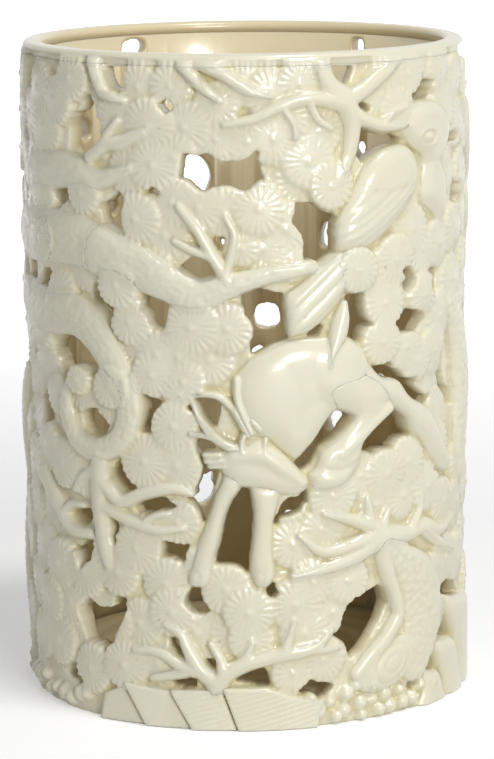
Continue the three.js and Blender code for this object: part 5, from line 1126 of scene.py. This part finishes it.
tufts = make_tufts()
heights = []
for make, joined in PIECES.values():
    field = blank()
    make(field)
    lowered = LIP_OVERHANG + (field - LIP_OVERHANG) * RELIEF_SHARE
    heights.append(np.where(field > LIP_OVERHANG, lowered, field))
pebbles = blank()
add_pebbles(pebbles)
figures = np.max(heights, 0)

leaves = np.maximum(tufts, pebbles)
into_hole = draw_openings()
hole = (figures < 0.5) & ((into_hole > 0.2) | ((into_hole > -0.4) & (leaves < 0.4)))
hole[:2] = hole[-2:] = False
depth = edge_distance(blur(1.0 - hole, CUT_BLUR), CUT_BLUR)

background = make_filler()
ground = blur(np.maximum(np.maximum(leaves, background), GROUND_LEVEL), GROUND_BLUR)
surface = ground
for field, (make, joined) in zip(heights, PIECES.values()):
    surface = smooth_max(surface, field, joined)
surface = LIP_OVERHANG + (surface - LIP_OVERHANG) * relief_left(Z_LINE)[:, None]
from_edge = np.minimum(depth, Z_LINE[:, None] + 0.3)
short = np.clip(EDGE_ROUNDING - from_edge, 0, EDGE_ROUNDING)
rounding = EDGE_ROUNDING - np.sqrt(EDGE_ROUNDING ** 2 - short ** 2)
surface = surface - rounding
# How deep each place lies in a hollow of the relief: the glaze is made yellower and darker there, partly
# as pooled glaze and partly as painted shade
hollow = np.clip(blur(surface, HOLLOW_WIDTH) - surface, 0, HOLLOW_DEPTH)

# Each piece is cut out of that surface where it stands highest
everything = np.stack([ground, *heights])
order = np.argsort(everything, 0)
top, next_one = order[-1], order[-2]
best = np.take_along_axis(everything, top[None], 0)[0]
second = np.take_along_axis(everything, next_one[None], 0)[0]

glazed = []
covered = np.minimum(np.max(heights, 0) - ground, depth - 0.4)
for number, name in enumerate(PIECES, 1):
    lead = np.where(top == number, best - second, heights[number - 1] - best)
    lead = np.minimum(lead, depth - 0.4)
    lead[0] = lead[-1] = ABSENT
    here = np.flatnonzero((lead > 0).any(0))
    shift = 0
    if here[0] == 0 or here[-1] == COLUMNS - 1:
        shift = COLUMNS // 2
        lead = np.roll(lead, shift, 1)
        here = np.flatnonzero((lead > 0).any(0))
    rows = np.flatnonzero((lead > 0).any(1))
    box = (slice(max(rows[0] - 1, 0), rows[-1] + 2), slice(here[0] - 1, here[-1] + 2))
    s_line = S_LINE[box[1]] - shift * DS
    made = shell(name + "_glazed", lead[box], WALL_RADIUS + np.roll(surface, shift, 1)[box],
                 np.full(lead[box].shape, WALL_RADIUS - ROOT), s_line, Z_LINE[box[0]])
    thin_out(made, int((lead > 0).sum() * DS * DZ * PIECE_TRIANGLES_PER_MM2))
    mark_pool_and_shade(made, hollow)
    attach(made, "root")
    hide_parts(name)
    glazed.append(made)

# The wall takes the same surface, kept clear of it where a piece lies over it
clear = 0.08 * ease(covered / 0.4) + 0.25 * ease((covered - 0.5) / 0.6)
clear[-3:] = 0
short = np.clip(INNER_ROUNDING - depth, 0, INNER_ROUNDING)
inner = BORE_RADIUS + INNER_ROUNDING - np.sqrt(INNER_ROUNDING ** 2 - short ** 2)
depth[:2] = np.maximum(depth[:2], 0.3)
depth[-2:] = np.maximum(depth[-2:], 0.3)
wall = shell("wall_glazed", depth, WALL_RADIUS + surface - clear, inner, S_LINE, Z_LINE, ring=True)
thin_out(wall, WALL_TRIANGLES)
mark_pool_and_shade(wall, hollow)
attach(wall, "root")
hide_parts("pierced_wall")
glazed.append(wall)


# The lip and the floor, turned

def turned(name, profile, swell=np.zeros(256)):
    """A closed ring or disc turned from a profile of radius, height and share of the swell, in mm."""
    count, segments = len(profile), len(swell)
    angles = [2 * math.pi * k / segments - math.pi for k in range(segments)]
    vertices = [((r + share * more) * math.sin(a) * MM, -(r + share * more) * math.cos(a) * MM, z * MM)
                for a, more in zip(angles, swell) for r, z, share in profile]
    mesh = bpy.data.meshes.new(name)
    faces = []
    for k in range(segments):
        this, after = k * count, (k + 1) % segments * count
        for i in range(count):
            up = (i + 1) % count
            faces.append((this + i, after + i, after + up, this + up))
    mesh.from_pydata(vertices, [], faces)
    mesh.validate()
    mesh.polygons.foreach_set("use_smooth", [i < count - 1 for k in range(segments) for i in range(count)])
    thing = bpy.data.objects.new(name, mesh)
    bpy.context.scene.collection.objects.link(thing)
    return thing


def rounded(centre_r, centre_z, radius, start, end, steps=8):
    """Points along an arc of a profile, angles in degrees from the outward direction."""
    angles = np.radians(np.linspace(start, end, steps + 1))
    return [(centre_r + radius * math.cos(a), centre_z + radius * math.sin(a), 0) for a in angles]


SHOULDER = POT_HEIGHT - LIP_ROUNDING
straight = np.linspace(WALL_TOP, SHOULDER, 6)
lip_profile = [(LIP_RADIUS, z, float(relief_left(z) / relief_left(WALL_TOP))) for z in straight]
lip_profile += rounded(LIP_RADIUS - LIP_ROUNDING, SHOULDER, LIP_ROUNDING, 0, 90)[1:]
lip_profile += rounded(BORE_RADIUS + LIP_ROUNDING, SHOULDER, LIP_ROUNDING, 90, 180)
lip_profile += [(BORE_RADIUS, WALL_TOP, 0)]
lip = turned("lip_glazed", lip_profile, surface[-1] - LIP_OVERHANG)
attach(lip, "root")
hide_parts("lip")
glazed.append(lip)

disc_radius = BORE_RADIUS - FLOOR_GAP
disc_profile = [(0.01, FLOOR_BOTTOM, 0), (disc_radius - FLOOR_CHAMFER, FLOOR_BOTTOM, 0),
                (disc_radius, FLOOR_BOTTOM + FLOOR_CHAMFER, 0), (disc_radius, FLOOR_TOP - 0.4, 0),
                (disc_radius - 0.4, FLOOR_TOP, 0),
                (disc_radius * 0.6, FLOOR_TOP - 0.15, 0), (0.01, FLOOR_TOP - 0.25, 0)]
disc = turned("floor_glazed", disc_profile)
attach(disc, "root")
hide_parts("floor")
glazed.append(disc)


# The glaze and the bare floor

def fill(node, values):
    """Puts plain values on a node's sockets, by name or number."""
    for socket, value in values.items():
        node.inputs[socket].default_value = value


def new_node(tree, kind, values=None, **settings):
    """A shader node with its settings, and with plain values on its sockets."""
    node = tree.nodes.new("ShaderNode" + kind)
    for name, value in settings.items():
        setattr(node, name, value)
    fill(node, values or {})
    return node


def new_material(name):
    """A material, its node tree and its principled shader."""
    material = bpy.data.materials.new(name)
    material.use_nodes = True
    return material, material.node_tree, material.node_tree.nodes["Principled BSDF"]


def two_colors(tree, share, low, high):
    """A colour between two, by a share."""
    ramp = new_node(tree, "ValToRGB")
    for element, color in zip(ramp.color_ramp.elements, (low, high)):
        element.color = (*color, 1)
    tree.links.new(share, ramp.inputs["Fac"])
    return ramp.outputs["Color"]


def glaze_material():
    """Ivory glaze: yellower and darker in the relief's hollows, partly as pooled glaze and partly as
    painted shade, and tan inside the pot as painted shade and bounce light.
    """
    material, tree, shader = new_material("ivory_glaze")
    link = tree.links.new
    fill(shader, {
        "Roughness": 0.28,
        "IOR": 1.5,
        "Coat Weight": 0.3,
        "Coat Roughness": 0.08,
        "Subsurface Weight": 0.25,
        "Subsurface Radius": (1.0, 0.8, 0.5),
        "Subsurface Scale": 0.002,
    })
    place = new_node(tree, "TexCoord").outputs["Object"]
    pool_and_shade = new_node(tree, "Attribute", attribute_name="pool_and_shade")
    cloud = new_node(tree, "TexNoise", {"Scale": 45, "Detail": 3})
    link(place, cloud.inputs["Vector"])
    spread = new_node(tree, "Math", {1: 0.5, 2: -0.2}, operation="MULTIPLY_ADD")
    link(cloud.outputs["Fac"], spread.inputs[0])
    total = new_node(tree, "Math", operation="ADD", use_clamp=True)
    link(pool_and_shade.outputs["Fac"], total.inputs[0])
    link(spread.outputs["Value"], total.inputs[1])
    # Outside colour: yellower and darker in the hollows, partly pooled glaze and partly painted shade,
    # with a random tone over all
    outside = two_colors(tree, total.outputs["Value"], (0.74, 0.71, 0.56), (0.68, 0.6, 0.34))
    # Painted shade: towards the bore the glaze turns tan, standing for the shade and warm bounced light
    # inside the pot
    across = new_node(tree, "VectorMath", {1: (1, 1, 0)}, operation="MULTIPLY")
    link(place, across.inputs[0])
    radius = new_node(tree, "VectorMath", operation="LENGTH")
    link(across.outputs["Vector"], radius.inputs[0])
    painted_inner_shade = new_node(tree, "MapRange", interpolation_type="SMOOTHSTEP")
    fill(painted_inner_shade, {"From Min": (BORE_RADIUS + 0.8 * WALL_THICKNESS) * MM,
                   "From Max": (BORE_RADIUS + 0.1 * WALL_THICKNESS) * MM})
    link(radius.outputs["Value"], painted_inner_shade.inputs["Value"])
    either = new_node(tree, "Mix", {"B": (0.74, 0.64, 0.41, 1)}, data_type="RGBA")
    link(painted_inner_shade.outputs["Result"], either.inputs["Factor"])
    link(outside, either.inputs["A"])
    link(either.outputs["Result"], shader.inputs["Base Color"])
    return material


def bare_clay_material():
    """The unglazed floor: brown, with the turning marks of the wheel."""
    material, tree, shader = new_material("bare_clay")
    link = tree.links.new
    fill(shader, {"Roughness": 0.4})
    rings = new_node(tree, "TexWave", {"Scale": 60, "Distortion": 3}, wave_type="RINGS",
                     rings_direction="Z")
    link(new_node(tree, "TexCoord").outputs["Object"], rings.inputs["Vector"])
    clay = two_colors(tree, rings.outputs["Fac"], (0.5, 0.42, 0.25), (0.62, 0.53, 0.34))
    link(clay, shader.inputs["Base Color"])
    bump = new_node(tree, "Bump", {"Strength": 0.3, "Distance": 0.0002})
    link(rings.outputs["Fac"], bump.inputs["Height"])
    link(bump.outputs["Normal"], shader.inputs["Normal"])
    return material


glaze = glaze_material()
for thing in glazed:
    thing.data.materials.clear()
    thing.data.materials.append(glaze)
disc.data.materials.clear()
disc.data.materials.append(bare_clay_material())


# Camera, fitted to the photograph's rim and foot

CAMERA_DISTANCE = 0.6405
CAMERA_HEIGHT = 0.17535
CAMERA_PITCH = 0.1807
CAMERA_ROLL = -0.0085
FOCAL_PIXELS = 3347.2
IMAGE_HEIGHT = 759
SENSOR = 36.0

camera_data = bpy.data.cameras.new("camera")
camera = bpy.data.objects.new("camera", camera_data)
bpy.context.scene.collection.objects.link(camera)
camera.location = (0, -CAMERA_DISTANCE, CAMERA_HEIGHT)
camera.rotation_euler = (Matrix.Rotation(math.pi / 2 - CAMERA_PITCH, 3, "X")
                         @ Matrix.Rotation(CAMERA_ROLL, 3, "Z")).to_euler()
camera_data.sensor_fit = "VERTICAL"
camera_data.sensor_height = SENSOR
camera_data.lens = FOCAL_PIXELS / IMAGE_HEIGHT * SENSOR
camera_data.shift_x = 1.5 / IMAGE_HEIGHT
bpy.context.scene.camera = camera


# Studio

def seen_directly(tree, strength, otherwise=0.0):
    """A strength for what the camera sees, directly or by reflection or through glass, or else another."""
    path = new_node(tree, "LightPath")
    seen = path.outputs["Is Camera Ray"]
    for way in ("Is Glossy Ray", "Is Transmission Ray"):
        either = new_node(tree, "Math", operation="MAXIMUM")
        tree.links.new(seen, either.inputs[0])
        tree.links.new(path.outputs[way], either.inputs[1])
        seen = either.outputs["Value"]
    chosen = new_node(tree, "Mix", {"A": otherwise})
    tree.links.new(seen, chosen.inputs["Factor"])
    if isinstance(strength, float):
        chosen.inputs["B"].default_value = strength
    else:
        tree.links.new(strength, chosen.inputs["B"])
    return chosen.outputs["Result"]


floor_mesh = bpy.data.meshes.new("studio_floor")
floor_mesh.from_pydata([(-3, -3, 0), (3, -3, 0), (3, 3, 0), (-3, 3, 0)], [], [(0, 1, 2, 3)])
studio_floor = bpy.data.objects.new("studio_floor", floor_mesh)
bpy.context.scene.collection.objects.link(studio_floor)
floor_material, tree, shader = new_material("studio_floor")
fill(shader, {
    "Base Color": (0.8, 0.8, 0.8, 1),
    "Roughness": 0.7,
    "Specular IOR Level": 0.1,
    "Emission Color": (1, 1, 1, 1),
})
away = new_node(tree, "VectorMath", operation="LENGTH")
tree.links.new(new_node(tree, "TexCoord").outputs["Object"], away.inputs[0])
whiter = new_node(tree, "MapRange", {"From Min": 0.15, "From Max": 0.8, "To Min": 0.33, "To Max": 1.0})
tree.links.new(away.outputs["Value"], whiter.inputs["Value"])
tree.links.new(seen_directly(tree, whiter.outputs["Result"]), shader.inputs["Emission Strength"])
floor_mesh.materials.append(floor_material)

world = bpy.data.worlds.new("studio")
world.use_nodes = True
background_shader = world.node_tree.nodes["Background"]
background_shader.inputs["Color"].default_value = (1, 1, 1, 1)
world_strength = seen_directly(world.node_tree, 1.0, 0.27)
world.node_tree.links.new(world_strength, background_shader.inputs["Strength"])
bpy.context.scene.world = world


def softbox(name, place, aim, size, energy):
    data = bpy.data.lights.new(name, "AREA")
    data.energy = energy
    data.size = size
    lamp = bpy.data.objects.new(name, data)
    bpy.context.scene.collection.objects.link(lamp)
    lamp.location = place
    lamp.rotation_euler = (Vector(aim) - lamp.location).to_track_quat("-Z", "Y").to_euler()


softbox("key", (0.3, -0.3, 1.1), (0, 0, 0.06), 0.25, 5.0)
softbox("front", (0.35, -0.95, 0.35), (0, 0, 0.06), 0.35, 5.0)
bpy.context.scene.view_settings.view_transform = "Standard"
